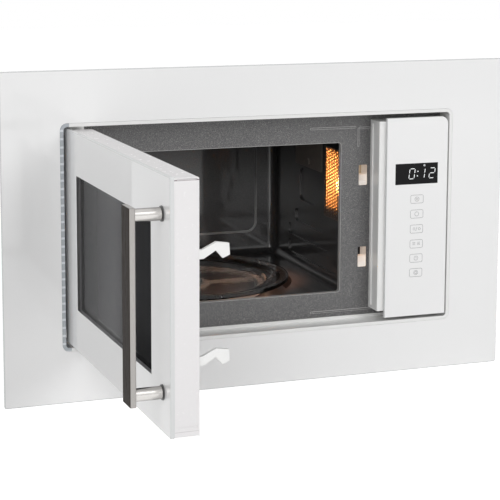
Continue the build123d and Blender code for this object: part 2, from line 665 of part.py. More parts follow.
def make_cover():
    """Folded sheet-steel cover over the top and both sides, with vents."""
    half = BODY_W / 2
    outer = block(-half - SHEET, half + SHEET, PLATE_Y + PLATE_T + 0.2, BODY_BACK, BODY_LOW, BODY_HIGH)
    outer = fillet(outer.edges().filter_by(Axis.Y).group_by(Axis.Z)[-1], 4.0)
    inner = block(-half, half, PLATE_Y, BODY_BACK + 1, BODY_LOW - 1, BODY_HIGH - SHEET)
    inner = fillet(inner.edges().filter_by(Axis.Y).group_by(Axis.Z)[-1], 3.0)
    cover = outer - inner
    for side in (-1, 1):
        for i in range(9):
            y = BODY_BACK - 30 - i * 9.0
            cover -= side_panel(side * (half - 1), side * (half + 3), y - 2, y + 2,
                                BODY_LOW + 150, BODY_LOW + 215, 1.9)
    return cover


def make_base():
    """Base pan of the body with a removable cap below the turntable motor."""
    half = BODY_W / 2 - 0.3
    base = block(-half, half, PLATE_Y + PLATE_T + 0.2, BODY_BACK - SHEET - 0.2, BODY_LOW, BODY_LOW + SHEET)
    for side in (-1, 1):
        base += block(side * half, side * (half - SHEET), PLATE_Y + PLATE_T + 0.2, BODY_BACK - SHEET - 0.2,
                      BODY_LOW, BODY_LOW + 12)
    for row in range(6):
        y = FRONT_Y + 225.0 + row * 9.0
        base -= panel_low(150, 200, y, y + 4)
    return base


def panel_low(x0, x1, y0, y1):
    """An air slot through the base pan."""
    slot = RectangleRounded(x1 - x0, y1 - y0, (y1 - y0) * 0.45)
    return extrude(Plane(origin=((x0 + x1) / 2, (y0 + y1) / 2, BODY_LOW - 1)) * slot, amount=SHEET + 2)


def make_back_panel():
    """Back panel with the fan's air holes, a chimney of vents and the hole for the mains lead."""
    half = BODY_W / 2 - 0.3
    y0 = BODY_BACK - SHEET
    back = panel(-half, half, y0, BODY_BACK, BODY_LOW + 0.2, BODY_HIGH - SHEET - 0.3, 3.0)
    pitch = 8.0
    holes = []
    for i in range(-5, 6):
        width = 2 * math.sqrt((FAN_R - 4) ** 2 - (i * pitch) ** 2)
        plane = Plane(origin=(FAN_X, y0 - 1, FAN_Z + i * pitch), x_dir=(1, 0, 0), z_dir=(0, 1, 0))
        if width > 12:
            holes.append(extrude(plane * RectangleRounded(width, 4.4, 2.1), amount=SHEET + 2))
    for row in range(4):
        plane = Plane(origin=(-120, y0 - 1, BODY_HIGH - 40 - row * 9), x_dir=(1, 0, 0), z_dir=(0, 1, 0))
        holes.append(extrude(plane * RectangleRounded(90, 4.4, 2.1), amount=SHEET + 2))
    holes.append(rod(INLET_X, y0 - 1, INLET_Z, INLET_R + 0.05, 4, "y"))
    return back - holes


def make_cord_inlet():
    """Moulded bush in the back panel that the mains lead passes through."""
    y0 = BODY_BACK - SHEET
    bush = rod(INLET_X, y0 - 5, INLET_Z, INLET_R, GLAND_LEN, "y")
    bush += rod(INLET_X, BODY_BACK, INLET_Z, INLET_R + 3, 4, "y")
    bush += rod(INLET_X, y0 - 5, INLET_Z, INLET_R + 2, 5, "y")
    return bush - rod(INLET_X, y0 - 6, INLET_Z, GLAND_BORE_R, GLAND_LEN + 2, "y")


def make_rail(side):
    """Pressed steel rail that lifts the body to the height of the trim's opening."""
    h = BODY_LOW - FOOT_H
    w = RAIL_W / 2
    t = RAIL_T
    outline = [(-w, 0), (w, 0), (w, t), (t / 2, t), (t / 2, h - t), (w, h - t), (w, h), (-w, h),
               (-w, h - t), (-t / 2, h - t), (-t / 2, t), (-w, t)]
    rail = sheet_channel(outline, side * RAIL_X, FOOT_H, 8.0, BODY_BACK - 12)
    for i in range(4):
        y = 52 + i * 66.0
        rail -= side_panel(side * RAIL_X - 5, side * RAIL_X + 5, y - 20, y + 20, FOOT_H + 13, FOOT_H + h - 13, 8.0)
    return rail


def make_feet():
    """Four rubber feet under the rails."""
    made = []
    for x in (-RAIL_X, RAIL_X):
        for y in (30.0, BODY_BACK - 34.0):
            foot = rod(x, y, 0, FOOT_R, FOOT_H)
            made.append(chamfer(foot.edges().sort_by(Axis.Z)[0], 1.2))
    return Compound(children=made)


def make_hinge_bracket(top):
    """Steel bracket on the face plate with an arm and the pin that the door turns on."""
    z0 = DOOR_HIGH - HINGE_NOTCH_H + 3 if top else DOOR_LOW + HINGE_NOTCH_H - 3 - ARM_T
    z1 = z0 + ARM_T
    arm = block(PIN_X - 3.5, PIN_X + 7, PIN_Y - 3.5, PLATE_Y, z0, z1)
    arm = fillet(arm.edges().filter_by(Axis.Z).group_by(Axis.Y)[0], 3.4)
    foot_low = z0 - 2 if top else z0 - 5
    arm += block(PIN_X - 8, PIN_X + 16, PLATE_Y - 1.2, PLATE_Y, foot_low, foot_low + ARM_T + 7)
    pin_low = z0 - PIN_LEN if top else z1
    arm += rod(PIN_X, PIN_Y, pin_low, PIN_R, PIN_LEN)
    return arm


def frame_block(y0, y1, grow=0.0):
    """The door frame's outer form between two depths."""
    x0 = DOOR_LEFT + FRAME_INSET - grow
    x1 = DOOR_RIGHT - FRAME_INSET + grow
    return block(x0, x1, y0, y1, DOOR_LOW + FRAME_INSET - grow, DOOR_HIGH - FRAME_INSET + grow)


def hinge_room(grow):
    """The room that the brackets take at the door's two hinge corners, grown by a wall's thickness."""
    right = PIN_X + HINGE_NOTCH_X + grow
    room = block(DOOR_LEFT - 1, right, DOOR_FRONT + GLASS_T, DOOR_BACK + 1,
                 DOOR_HIGH - HINGE_NOTCH_H - grow, DOOR_HIGH + 1)
    room += block(DOOR_LEFT - 1, right, DOOR_FRONT + GLASS_T, DOOR_BACK + 1,
                  DOOR_LOW - 1, DOOR_LOW + HINGE_NOTCH_H + grow)
    return room


def make_door_glass():
    """White-backed front glass of the door, with a clear window."""
    glass = panel(DOOR_LEFT, DOOR_RIGHT, DOOR_FRONT, DOOR_FRONT + GLASS_T, DOOR_LOW, DOOR_HIGH, 2.0)
    return chamfer(glass.faces().sort_by(Axis.Y)[0].edges(), 0.6)


def make_door_frame():
    """Moulded white frame: four walls, a front flange that the glass is bonded to and two hinge bosses."""
    front = DOOR_FRONT + GLASS_T
    frame = frame_block(front, DOOR_BACK)
    back_left = frame.edges().filter_by(Axis.Z).sort_by(Axis.X)[:2].sort_by(Axis.Y)[-1]
    frame = fillet(back_left, FRAME_BACK_R)
    frame = fillet(frame.faces().sort_by(Axis.Z)[-1].edges().sort_by(Axis.Y)[-1], 1.5)
    solid = frame
    hollow = frame_block(front + FRAME_T, DOOR_BACK + 1, -FRAME_T)
    hollow = fillet(hollow.edges().filter_by(Axis.Z).sort_by(Axis.X)[:2].sort_by(Axis.Y)[-1], 4.0)
    frame -= hollow
    frame -= panel(WINDOW_X - WINDOW_W / 2 - 4, WINDOW_X + WINDOW_W / 2 + 4, front - 1, front + 4,
                   DOOR_MID_Z - WINDOW_H / 2 - 4, DOOR_MID_Z + WINDOW_H / 2 + 4, 3.0)
    boss_top = DOOR_HIGH - HINGE_NOTCH_H
    boss_low = DOOR_LOW + HINGE_NOTCH_H
    frame += solid & hinge_room(FRAME_T)
    for z0 in (boss_top - BUSH_H - 1, boss_low):
        frame += solid & rod(PIN_X, PIN_Y + 0.5, z0, BUSH_R + 0.6, BUSH_H + 1)
    frame -= hinge_room(0)
    for z0 in (boss_top - BUSH_H, boss_low):
        frame -= rod(PIN_X, PIN_Y, z0, BUSH_R, BUSH_H)
    wall = DOOR_RIGHT - FRAME_INSET - FRAME_T + 0.5
    x0 = LATCH_X - HOOK_T / 2
    for z in (HOOK_MID_Z - GUIDE_Z, HOOK_MID_Z + GUIDE_Z):
        frame += block(x0 - GUIDE_T, wall, front + 1, LEVER_Y0 - SLIDE_PLAY, z - 4, z + 4)
        frame += block(x0 - GUIDE_T, x0 - SLIDE_PLAY, front + 1, LEVER_Y1 - 2, z - 4, z + 4)
    frame += block(x0, wall, front + 1, LEVER_Y1, LEVER_LOW - SLIDE_PLAY - GUIDE_T, LEVER_LOW - SLIDE_PLAY)
    top_stop = LEVER_HIGH + HOOK_TRAVEL + SLIDE_PLAY
    frame += block(x0, wall, front + 1, LEVER_Y1, top_stop, top_stop + GUIDE_T)
    frame += rod(x0, SPRING_Y, SPRING_Z - SPRING_EYE, PEG_R, wall - x0, "x")
    for x in (DOOR_LEFT + DOOR_PAN_MARGIN + 22, DOOR_RIGHT - DOOR_PAN_MARGIN - 10):
        for z in (DOOR_LOW + DOOR_PAN_MARGIN + 10, DOOR_MID_Z, DOOR_HIGH - DOOR_PAN_MARGIN - 10):
            frame += rod(x, front + 1, z, 4.0, FRAME_T + PAN_GAP - 1, "y")
    groove = 0.8
    for z, depth in ((DOOR_HIGH - 2.6, 1.4), (DOOR_LOW + 9.5, 0.5)):
        frame -= block(DOOR_RIGHT - FRAME_INSET - depth, DOOR_RIGHT, front + 3.0, DOOR_BACK - 2.0,
                       z - groove, z + groove)
    return frame


def make_hinge_bushes():
    """Nylon bushes that line the frame's hinge bosses."""
    made = []
    for z0 in (DOOR_HIGH - HINGE_NOTCH_H - BUSH_H, DOOR_LOW + HINGE_NOTCH_H):
        bush = rod(PIN_X, PIN_Y, z0, BUSH_R, BUSH_H)
        made.append(bush - rod(PIN_X, PIN_Y, z0 - 1, PIN_R + PIN_PLAY, BUSH_H + 2))
    return Compound(children=made)


def make_door_pan():
    """Pressed steel inner door: a raised middle with the viewing screen, and a choke channel round it."""
    front = DOOR_FRONT + GLASS_T + FRAME_T + PAN_GAP
    back = DOOR_BACK - 3.2
    x0 = DOOR_LEFT + DOOR_PAN_MARGIN + 12
    x1 = DOOR_RIGHT - DOOR_PAN_MARGIN
    z0 = DOOR_LOW + DOOR_PAN_MARGIN
    z1 = DOOR_HIGH - DOOR_PAN_MARGIN
    c = DOOR_PAN_CHOKE
    outer = panel(x0, x1, front, back, z0, z1, 5.0)
    outer -= panel(x0 + SHEET, x1 - SHEET, front + SHEET, back + 1, z0 + SHEET, z1 - SHEET, 4.0)
    tub = panel(x0 + c, x1 - c, front, back, z0 + c, z1 - c, 6.0)
    tub -= panel(x0 + c + SHEET, x1 - c - SHEET, front - 1, back - SHEET, z0 + c + SHEET, z1 - c - SHEET, 5.0)
    pan = outer + tub
    pan -= panel(x0 + c + SHEET, x1 - c - SHEET, front - 1, front + SHEET + 0.5,
                 z0 + c + SHEET, z1 - c - SHEET, 5.0)
    pitch = 22.0
    slit = 3.0
    nx = int((x1 - x0 - 30) / 2 // pitch)
    nz = int((z1 - z0 - 30) / 2 // pitch)
    mid = (x0 + x1) / 2
    cuts = []
    for i in range(-nx, nx + 1):
        for z in (z0, z1):
            cuts.append(block(mid + i * pitch - slit / 2, mid + i * pitch + slit / 2, front + 6, back + 1,
                              z - 3, z + 3))
    for i in range(-nz, nz + 1):
        for x in (x0, x1):
            cuts.append(block(x - 3, x + 3, front + 6, back + 1,
                              DOOR_MID_Z + i * pitch - slit / 2, DOOR_MID_Z + i * pitch + slit / 2))
    return pan - cuts


def make_door_film():
    """Clear film on the oven side of the viewing screen."""
    back = DOOR_BACK - 3.2
    x0 = DOOR_LEFT + DOOR_PAN_MARGIN + 12 + DOOR_PAN_CHOKE + 2
    x1 = DOOR_RIGHT - DOOR_PAN_MARGIN - DOOR_PAN_CHOKE - 2
    inset = DOOR_PAN_MARGIN + DOOR_PAN_CHOKE + 2
    return panel(x0, x1, back, back + 0.4, DOOR_LOW + inset, DOOR_HIGH - inset, 4.0)


def make_door_cover():
    """White moulded ring that closes the door's back, over the choke channel."""
    y0 = DOOR_BACK - 2.0
    x0 = DOOR_LEFT + FRAME_INSET + FRAME_T + 4.2
    x1 = DOOR_RIGHT - FRAME_INSET - FRAME_T - 0.2
    inset = FRAME_INSET + FRAME_T + 0.2
    ring = panel(x0, x1, y0, DOOR_BACK, DOOR_LOW + inset, DOOR_HIGH - inset, 2.0)
    hole_inset = DOOR_PAN_MARGIN + DOOR_PAN_CHOKE + 4
    hole_left = DOOR_LEFT + hole_inset + 12
    ring -= panel(hole_left, DOOR_RIGHT - hole_inset, y0 - 1, DOOR_BACK + 1,
                  DOOR_LOW + hole_inset, DOOR_HIGH - hole_inset, 6.0)
    ring -= hinge_room(FRAME_T + 0.2)
    for z in (HOOK_MID_Z - GUIDE_Z, HOOK_MID_Z + GUIDE_Z):
        ring += block(LATCH_X - HOOK_T / 2, LATCH_X + HOOK_T / 2, LEVER_Y1 + SLIDE_PLAY, y0 + 1, z - 4, z + 4)
    for z in (HOOK_MID_Z - HOOK_SPACING / 2, HOOK_MID_Z + HOOK_SPACING / 2):
        ring -= block(LATCH_X - HOOK_T / 2 - 0.5, DOOR_RIGHT, y0 - 1, DOOR_BACK + 1,
                      z - 5.5, z + 12.5 + HOOK_TRAVEL)
    lip = 3.0
    for z0, z1 in ((DOOR_LOW + hole_inset - 1.4, DOOR_LOW + hole_inset),
                   (DOOR_HIGH - hole_inset, DOOR_HIGH - hole_inset + 1.4)):
        ring += block(hole_left + 8, DOOR_RIGHT - hole_inset - 8, y0 + 2.0 - lip + 0.2, DOOR_BACK, z0, z1)
    return ring


def make_handle_bar():
    """Flat brushed bar of the handle."""
    y0 = DOOR_FRONT - BAR_STANDOFF
    bar = block(HANDLE_X - BAR_W / 2, HANDLE_X + BAR_W / 2, y0, y0 + BAR_T,
                DOOR_MID_Z + 1 - BAR_L / 2, DOOR_MID_Z + 1 + BAR_L / 2)
    bar = fillet(bar.edges().filter_by(Axis.Z), 1.2)
    return chamfer(bar.faces().sort_by(Axis.Y)[0].edges().filter_by(Axis.X), 0.6)


def make_handle_posts():
    """Two round posts that hold the bar off the glass."""
    y0 = DOOR_FRONT - BAR_STANDOFF + BAR_T
    length = BAR_STANDOFF - BAR_T - WASHER_T
    made = []
    for z in (DOOR_MID_Z + 1 - POST_SPACING / 2, DOOR_MID_Z + 1 + POST_SPACING / 2):
        post = rod(HANDLE_X, y0, z, POST_R, length, "y")
        made.append(chamfer(post.edges().sort_by(Axis.Y)[-1], 0.8))
    return Compound(children=made)


def make_handle_washers():
    """Dark rings between the posts and the glass."""
    made = []
    for z in (DOOR_MID_Z + 1 - POST_SPACING / 2, DOOR_MID_Z + 1 + POST_SPACING / 2):
        ring = rod(HANDLE_X, DOOR_FRONT - WASHER_T, z, WASHER_R, WASHER_T, "y")
        made.append(ring - rod(HANDLE_X, DOOR_FRONT - WASHER_T - 1, z, 2.2, 3, "y"))
    return Compound(children=made)


def make_latch_lever():
    """Moulded slider in the door's free edge that carries both latch hooks."""
    x0 = LATCH_X - HOOK_T / 2
    lever = block(x0, x0 + HOOK_T, LEVER_Y0, LEVER_Y1, LEVER_LOW, LEVER_HIGH)
    lever -= block(x0 - 1, x0 + HOOK_T + 1, LEVER_Y0 + 2, LEVER_Y1 - 1.5,
                   SPRING_Z - SPRING_EYE - HOOK_TRAVEL - 3, SPRING_Z + SPRING_L + SPRING_EYE + 3)
    lever += rod(LATCH_X, LEVER_Y0 + 1, SPRING_Z + SPRING_L + SPRING_EYE, PEG_R, LEVER_Y1 - LEVER_Y0 - 2, "y")
    for zc in (HOOK_MID_Z - HOOK_SPACING / 2, HOOK_MID_Z + HOOK_SPACING / 2):
        y = DOOR_BACK
        outline = [(LEVER_Y1 - 2, zc - 4), (y + 5, zc - 3.4), (y + 16.5, zc + 3.4), (y + 23, zc - 4.0),
                   (y + HOOK_REACH - 1.2, zc - 1.2), (y + HOOK_REACH - 2.0, zc + 9.2), (y + 17, zc + 11),
                   (y + 4, zc + 4.8), (LEVER_Y1 - 2, zc + 4.8)]
        face = make_face(Polyline(outline, close=True))
        hook = extrude(Plane(origin=(x0, 0, 0), x_dir=(0, 1, 0), z_dir=(1, 0, 0)) * face, amount=HOOK_T)
        lever += hook
    return lever


def make_latch_spring():
    """Tension spring in the slider's window, with an eye on the frame's peg and one on the slider's."""
    path = Helix(pitch=SPRING_L / SPRING_TURNS, height=SPRING_L, radius=SPRING_R)
    wire = sweep(Plane(origin=path @ 0, z_dir=path % 0) * RegularPolygon(SPRING_WIRE_R, 6), path=path)
    eye_r = PEG_R + SPRING_WIRE_R + 0.1
    leg = SPRING_EYE + 0.1
    low = Pos(0, 0, -SPRING_EYE) * (Rot(0, 90, 0) * Torus(eye_r, SPRING_WIRE_R))
    high = Pos(0, 0, SPRING_L + SPRING_EYE) * (Rot(90, 0, 0) * Torus(eye_r, SPRING_WIRE_R))
    turn = math.degrees(math.atan2((path @ 1).Y, (path @ 1).X))
    start = Rot(0, 0, 90) * wire
    low_leg = rod(0, SPRING_R - 0.03, -leg, SPRING_WIRE_R, leg + 0.1)
    high_leg = Rot(0, 0, 90 + turn) * rod(SPRING_R - 0.03, 0, SPRING_L - 0.1, SPRING_WIRE_R, leg + 0.1)
    return Pos(LATCH_X, SPRING_Y, SPRING_Z) * (start + low + low_leg + high + high_leg)


def make_latch_board():
    """White moulded carrier behind the latch slots, with a ramped catch that each hook drops behind."""
    y0 = PLATE_Y + PLATE_T
    y1 = y0 + LATCH_BOARD_DEPTH
    z0 = HOOK_MID_Z - 76.0
    z1 = HOOK_MID_Z + 76.0
    x0 = CHAMBER_RIGHT + SHEET + 3.5
    x1 = LATCH_X + 12.0
    board = block(x1, x1 + 2.4, y0, y1, z0, z1)
    board += block(x0, x1 + 2.4, y0, y0 + 2.0, z0, z1)
    for zc in (HOOK_MID_Z - HOOK_SPACING / 2, HOOK_MID_Z + HOOK_SPACING / 2):
        board -= block(LATCH_X - 6.5, LATCH_X + 6.5, y0 - 1, y0 + 3, zc - 13, zc + 13)
        board += block(LATCH_X - 6.4, x1 + 0.5, y0, y1, zc - 16, zc - 13.4)
        catch = [(y0 + 3, zc - 14), (y0 + 3, zc - 8.0), (DOOR_BACK + 11.5, zc - 0.8), (DOOR_BACK + 19.4, zc - 0.8),
                 (DOOR_BACK + 19.8, zc - 14)]
        face = make_face(Polyline(catch, close=True))
        plane = Plane(origin=(LATCH_X - 5.5, 0, 0), x_dir=(0, 1, 0), z_dir=(1, 0, 0))
        board += extrude(plane * face, amount=x1 - LATCH_X + 6.0)
    return board


def make_microswitches():
    """Three door safety switches on the latch board, each with its plunger."""
    x0 = LATCH_X + 14.4
    y0 = PLATE_Y + PLATE_T + 3
    made = []
    for z in (HOOK_MID_Z - 62, HOOK_MID_Z - 8, HOOK_MID_Z + 40):
        case = block(x0, x0 + 10.3, y0, y0 + 28, z, z + 16)
        case += block(x0 + 3.6, x0 + 6.6, y0 + 6, y0 + 10, z + 16, z + 17.6)
        for dy in (4, 14, 24):
            case += block(x0 + 3.0, x0 + 7.2, y0 + dy - 0.4, y0 + dy + 0.4, z - 7, z + 0.5)
        made.append(case)
    return Compound(children=made)


def make_control_housing():
    """White moulded box that carries the control glass and the boards."""
    y0 = DOOR_FRONT + GLASS_T
    shell = block(HOUSING_LEFT, PANEL_RIGHT, y0, PLATE_Y, HOUSING_LOW, HOUSING_LOW + HOUSING_H)
    shell = fillet(shell.edges().filter_by(Axis.Z).group_by(Axis.Y)[0], 1.2)
    shell -= block(HOUSING_LEFT + HOUSING_T, PANEL_RIGHT - HOUSING_T, y0 + 2.4, PLATE_Y + 1,
                   HOUSING_LOW + HOUSING_T, HOUSING_LOW + HOUSING_H - HOUSING_T)
    shell += block(HOUSING_LEFT - 1.2, HOUSING_LEFT + 1, PLATE_Y - 8, PLATE_Y - 5, HOUSING_LOW + 4,
                   HOUSING_LOW + HOUSING_H - 4)
    backing_low = PANEL_LOW + 2.0
    backing_high = PANEL_LOW + PANEL_H - 2.0
    shell += panel(PANEL_LEFT + 2, PANEL_RIGHT - 2, y0, y0 + 3.0, backing_low, backing_high, 6.0)
    shell -= block(DISPLAY_X - DISPLAY_W / 2, DISPLAY_X + DISPLAY_W / 2, y0 - 1, y0 + 6,
                   DISPLAY_Z - DISPLAY_H / 2, DISPLAY_Z + DISPLAY_H / 2)
    for x in (HOUSING_LEFT + 10, PANEL_RIGHT - 10):
        for z in (HOUSING_LOW + 28, HOUSING_LOW + HOUSING_H - 14):
            shell += rod(x, y0 + 1, z, 3.0, BOARD_SETBACK - 1, "y")
    return shell


def make_control_glass():
    """White-backed glass of the touch controls, with one large rounded corner."""
    glass = block(PANEL_LEFT, PANEL_RIGHT, DOOR_FRONT, DOOR_FRONT + GLASS_T, PANEL_LOW, PANEL_LOW + PANEL_H)
    uprights = glass.edges().filter_by(Axis.Y)
    top_right = uprights.sort_by(Axis.X)[-2:].sort_by(Axis.Z)[-1]
    glass = fillet(top_right, PANEL_CORNER)
    return chamfer(glass.faces().sort_by(Axis.Y)[0].edges(), 0.5)


def make_display_module():
    """Four-digit display block behind the window in the control glass."""
    y0 = DOOR_FRONT + GLASS_T
    fit = 0.25
    return block(DISPLAY_X - DISPLAY_W / 2 + fit, DISPLAY_X + DISPLAY_W / 2 - fit, y0, y0 + BOARD_SETBACK,
                 DISPLAY_Z - DISPLAY_H / 2 + fit, DISPLAY_Z + DISPLAY_H / 2 - fit)


def make_control_board():
    """Printed board with relays, a small transformer and the edge connector."""
    y0 = DOOR_FRONT + GLASS_T + BOARD_SETBACK
    board = block(HOUSING_LEFT + 5, PANEL_RIGHT - 5, y0, y0 + 1.6, HOUSING_LOW + 22, HOUSING_LOW + HOUSING_H - 8)
    low = HOUSING_LOW + 30
    for i, (w, h, d) in enumerate(((16, 20, 12), (16, 20, 12), (26, 24, 13), (20, 12, 8))):
        x = HOUSING_LEFT + 14 + (i % 2) * 34
        z = low + (i // 2) * 48
        board += block(x, x + w, y0 + 1.6, y0 + 1.6 + d, z, z + h)
    return board


def make_noise_filter():
    """Mains filter board with its choke and capacitor, above the transformer."""
    x0 = CHAMBER_RIGHT + 76
    y0 = BODY_BACK - SHEET - 46
    z0 = BODY_LOW + SHEET
    board = block(x0, x0 + 36, y0, y0 + 44, z0 + 7.0, z0 + 8.6)
    board += block(x0 + 2, x0 + 6, y0 + 2, y0 + 6, z0, z0 + 8)
    board += block(x0 + 30, x0 + 34, y0 + 38, y0 + 42, z0, z0 + 8)
    board += rod(x0 + 11, y0 + 12, z0 + 8.6, 8.0, 12)
    board += block(x0 + 6, x0 + 30, y0 + 28, y0 + 40, z0 + 8.6, z0 + 24)
    return board


def make_thermal_cutouts():
    """Bimetal cut-outs on the chamber's side and on top of the grill cover."""
    x0 = CHAMBER_RIGHT + SHEET
    first = block(x0, x0 + 1.0, FRONT_Y + 240, FRONT_Y + 264, MID_Z + 34, MID_Z + 48)
    first += rod(x0 + 1, FRONT_Y + 252, MID_Z + 41, 6.5, 9, "x")
    z = CHAMBER_HIGH + SHEET + GRILL_H
    x = CHAMBER_X + 40
    second = block(x - 12, x + 12, TURN_Y - 7, TURN_Y + 7, z, z + 0.8)
    second += rod(x, TURN_Y, z + 0.5, 6.0, 3.2)
    return Compound(children=[first, second])


parts["trim_glass"] = make_trim_glass()
parts["trim_carrier"] = make_trim_carrier()
parts["recess_liner"] = make_recess_liner()
parts["trim_brackets"] = make_trim_brackets()
parts["face_plate"] = make_face_plate()
parts["chamber"] = make_chamber()
parts["lamp_grille"] = make_lamp_grille()
parts["lamp_holder"] = make_lamp_holder()
parts["lamp_bulb"] = make_lamp_bulb()
parts["waveguide_cover"] = make_waveguide_cover()
parts["waveguide"] = make_waveguide()
parts["magnetron"] = make_magnetron()
parts["transformer_core"] = make_transformer()
parts["transformer_coils"] = make_transformer_coils()
parts["capacitor"] = make_capacitor()
parts["diode"] = make_diode()
parts["fan_shroud"] = make_fan_shroud()
parts["fan_motor"] = make_fan_motor()
parts["fan_impeller"] = make_fan_impeller()
parts["turntable_motor"] = make_turntable_motor()
parts["turntable_driver"] = make_coupler()
parts["roller_ring"] = make_roller_ring()
for number in range(3):
    parts[f"roller_{number + 1}"] = make_roller(number)
parts["glass_tray"] = make_tray()
parts["grill_reflector"] = make_grill_reflector()
parts["grill_tubes"] = make_grill_tubes()
parts["body_cover"] = make_cover()
parts["base_pan"] = make_base()
parts["back_panel"] = make_back_panel()
parts["cord_inlet"] = make_cord_inlet()
parts["rail_left"] = make_rail(-1)
parts["rail_right"] = make_rail(1)
parts["feet"] = make_feet()
parts["hinge_bracket_top"] = make_hinge_bracket(True)
parts["hinge_bracket_bottom"] = make_hinge_bracket(False)
parts["latch_board"] = make_latch_board()
parts["microswitches"] = make_microswitches()
parts["control_housing"] = make_control_housing()
parts["control_glass"] = make_control_glass()
parts["display_module"] = make_display_module()
parts["control_board"] = make_control_board()
parts["noise_filter"] = make_noise_filter()
parts["thermal_cutouts"] = make_thermal_cutouts()
parts["door_glass"] = opened(make_door_glass())
parts["door_frame"] = opened(make_door_frame())
parts["hinge_bushes"] = opened(make_hinge_bushes())
parts["door_pan"] = opened(make_door_pan())
parts["door_film"] = opened(make_door_film())
parts["door_cover"] = opened(make_door_cover())
parts["handle_bar"] = opened(make_handle_bar())
parts["handle_posts"] = opened(make_handle_posts())
parts["handle_washers"] = opened(make_handle_washers())
parts["latch_lever"] = opened(make_latch_lever())
parts["latch_spring"] = opened(make_latch_spring())

os.makedirs("parts", exist_ok=True)
for name, shape in parts.items():
    export_step(shape, f"parts/{name}.step")
print(len(parts), "nodes")
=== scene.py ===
import bpy
import math
import numpy as np
from mathutils import Matrix, Vector


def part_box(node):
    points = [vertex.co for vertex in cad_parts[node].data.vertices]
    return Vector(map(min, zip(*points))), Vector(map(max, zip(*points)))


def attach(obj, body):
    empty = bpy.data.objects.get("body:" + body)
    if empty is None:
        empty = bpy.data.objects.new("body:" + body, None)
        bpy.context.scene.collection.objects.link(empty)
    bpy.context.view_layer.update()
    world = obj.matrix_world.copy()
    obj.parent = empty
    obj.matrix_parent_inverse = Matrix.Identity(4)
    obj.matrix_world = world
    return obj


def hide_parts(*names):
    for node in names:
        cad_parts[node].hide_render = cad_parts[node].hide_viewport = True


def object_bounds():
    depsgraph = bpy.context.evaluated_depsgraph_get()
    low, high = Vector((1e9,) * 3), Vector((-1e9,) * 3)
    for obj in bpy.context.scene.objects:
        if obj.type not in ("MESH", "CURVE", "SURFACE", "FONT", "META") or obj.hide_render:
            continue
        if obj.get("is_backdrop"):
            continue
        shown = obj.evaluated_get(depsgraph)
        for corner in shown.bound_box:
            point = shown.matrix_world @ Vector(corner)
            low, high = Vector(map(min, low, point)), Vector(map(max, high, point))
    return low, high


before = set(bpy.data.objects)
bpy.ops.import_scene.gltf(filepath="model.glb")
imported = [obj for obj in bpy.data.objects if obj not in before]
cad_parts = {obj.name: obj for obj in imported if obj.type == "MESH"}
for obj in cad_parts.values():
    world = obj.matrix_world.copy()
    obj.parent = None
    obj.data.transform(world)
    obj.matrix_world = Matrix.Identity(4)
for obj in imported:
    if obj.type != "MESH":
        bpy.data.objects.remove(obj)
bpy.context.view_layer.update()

# Camera. It stands to the left and above the middle, 1.7 m in front of the cabinet.
# Its turn, tilt and small roll come from the edges of the trim and of the open door.
yaw, pitch, roll = math.radians(19.598), math.radians(8.151), 0.00364
standpoint = Vector((-0.6094, -1.6746, 0.5208))
ahead = Vector((math.cos(pitch) * math.sin(yaw), math.cos(pitch) * math.cos(yaw), -math.sin(pitch)))
side = Vector((math.cos(yaw), -math.sin(yaw), 0))
up = Vector((math.sin(pitch) * math.sin(yaw), math.sin(pitch) * math.cos(yaw), math.cos(pitch)))
right = math.cos(roll) * side + math.sin(roll) * up
top = math.cos(roll) * up - math.sin(roll) * side
lens = bpy.data.cameras.new("camera")
lens.lens, lens.sensor_width, lens.shift_y = 115.16, 36.0, -0.2
lens.clip_start, lens.clip_end = 0.05, 50.0
camera = bpy.data.objects.new("camera", lens)
camera.matrix_world = Matrix.Translation(standpoint) @ Matrix((right, top, -ahead)).transposed().to_4x4()
bpy.context.scene.collection.objects.link(camera)
bpy.context.scene.camera = camera
bpy.context.scene.view_settings.view_transform = "Standard"


# Floor and light. The floor is a plain white sheet, and the light is a soft studio one.
# The surroundings show white to the camera and in reflections, and light the object less than that.
def shader_of(made):
    """The node tree of a material, and its Principled shader."""
    return made.node_tree, made.node_tree.nodes["Principled BSDF"]


def material(name):
    """A new node material, with its tree and its Principled shader."""
    made = bpy.data.materials.new(name)
    made.use_nodes = True
    return made, *shader_of(made)


def feed(tree, node, inputs):
    """Fills a shader node's inputs: sockets are linked, and numbers and colours are set."""
    for key, value in inputs.items():
        if isinstance(value, bpy.types.NodeSocket):
            tree.links.new(value, node.inputs[key])
        else:
            node.inputs[key].default_value = value


def add(tree, kind, inputs=None, **settings):
    """Adds one shader node with its own settings, and fills its inputs."""
    made = tree.nodes.new("ShaderNode" + kind)
    for key, value in settings.items():
        setattr(made, key, value)
    feed(tree, made, inputs or {})
    return made


def calc(tree, operation, a, b=0.0, c=0.0):
    """One step of arithmetic in a material."""
    return add(tree, "Math", {0: a, 1: b, 2: c}, operation=operation).outputs[0]


def blend(tree, share, a, b):
    """A colour between a and b, by a share from 0 to 1."""
    made = add(tree, "Mix", {"Factor": share}, data_type="RGBA")
    for key, value in ((6, a), (7, b)):
        feed(tree, made, {key: value if isinstance(value, bpy.types.NodeSocket) else (*value, 1.0)})
    return made.outputs[2]


def place(tree, centre=(0, 0, 0), turned=0.0, stretch=(1, 1, 1)):
    """Object coordinates, taken from a centre, turned about the upright and stretched."""
    coords = add(tree, "TexCoord").outputs["Object"]
    values = {"Vector": coords, "Location": centre, "Rotation": (0, 0, turned), "Scale": stretch}
    return add(tree, "Mapping", values, vector_type="TEXTURE").outputs[0]


def noise(tree, scale, detail=2.0, stretch=(1, 1, 1)):
    """An uneven pattern on Object coordinates, finer with a larger scale."""
    inputs = {"Vector": place(tree, stretch=stretch), "Scale": scale, "Detail": detail}
    return add(tree, "TexNoise", inputs).outputs["Fac"]


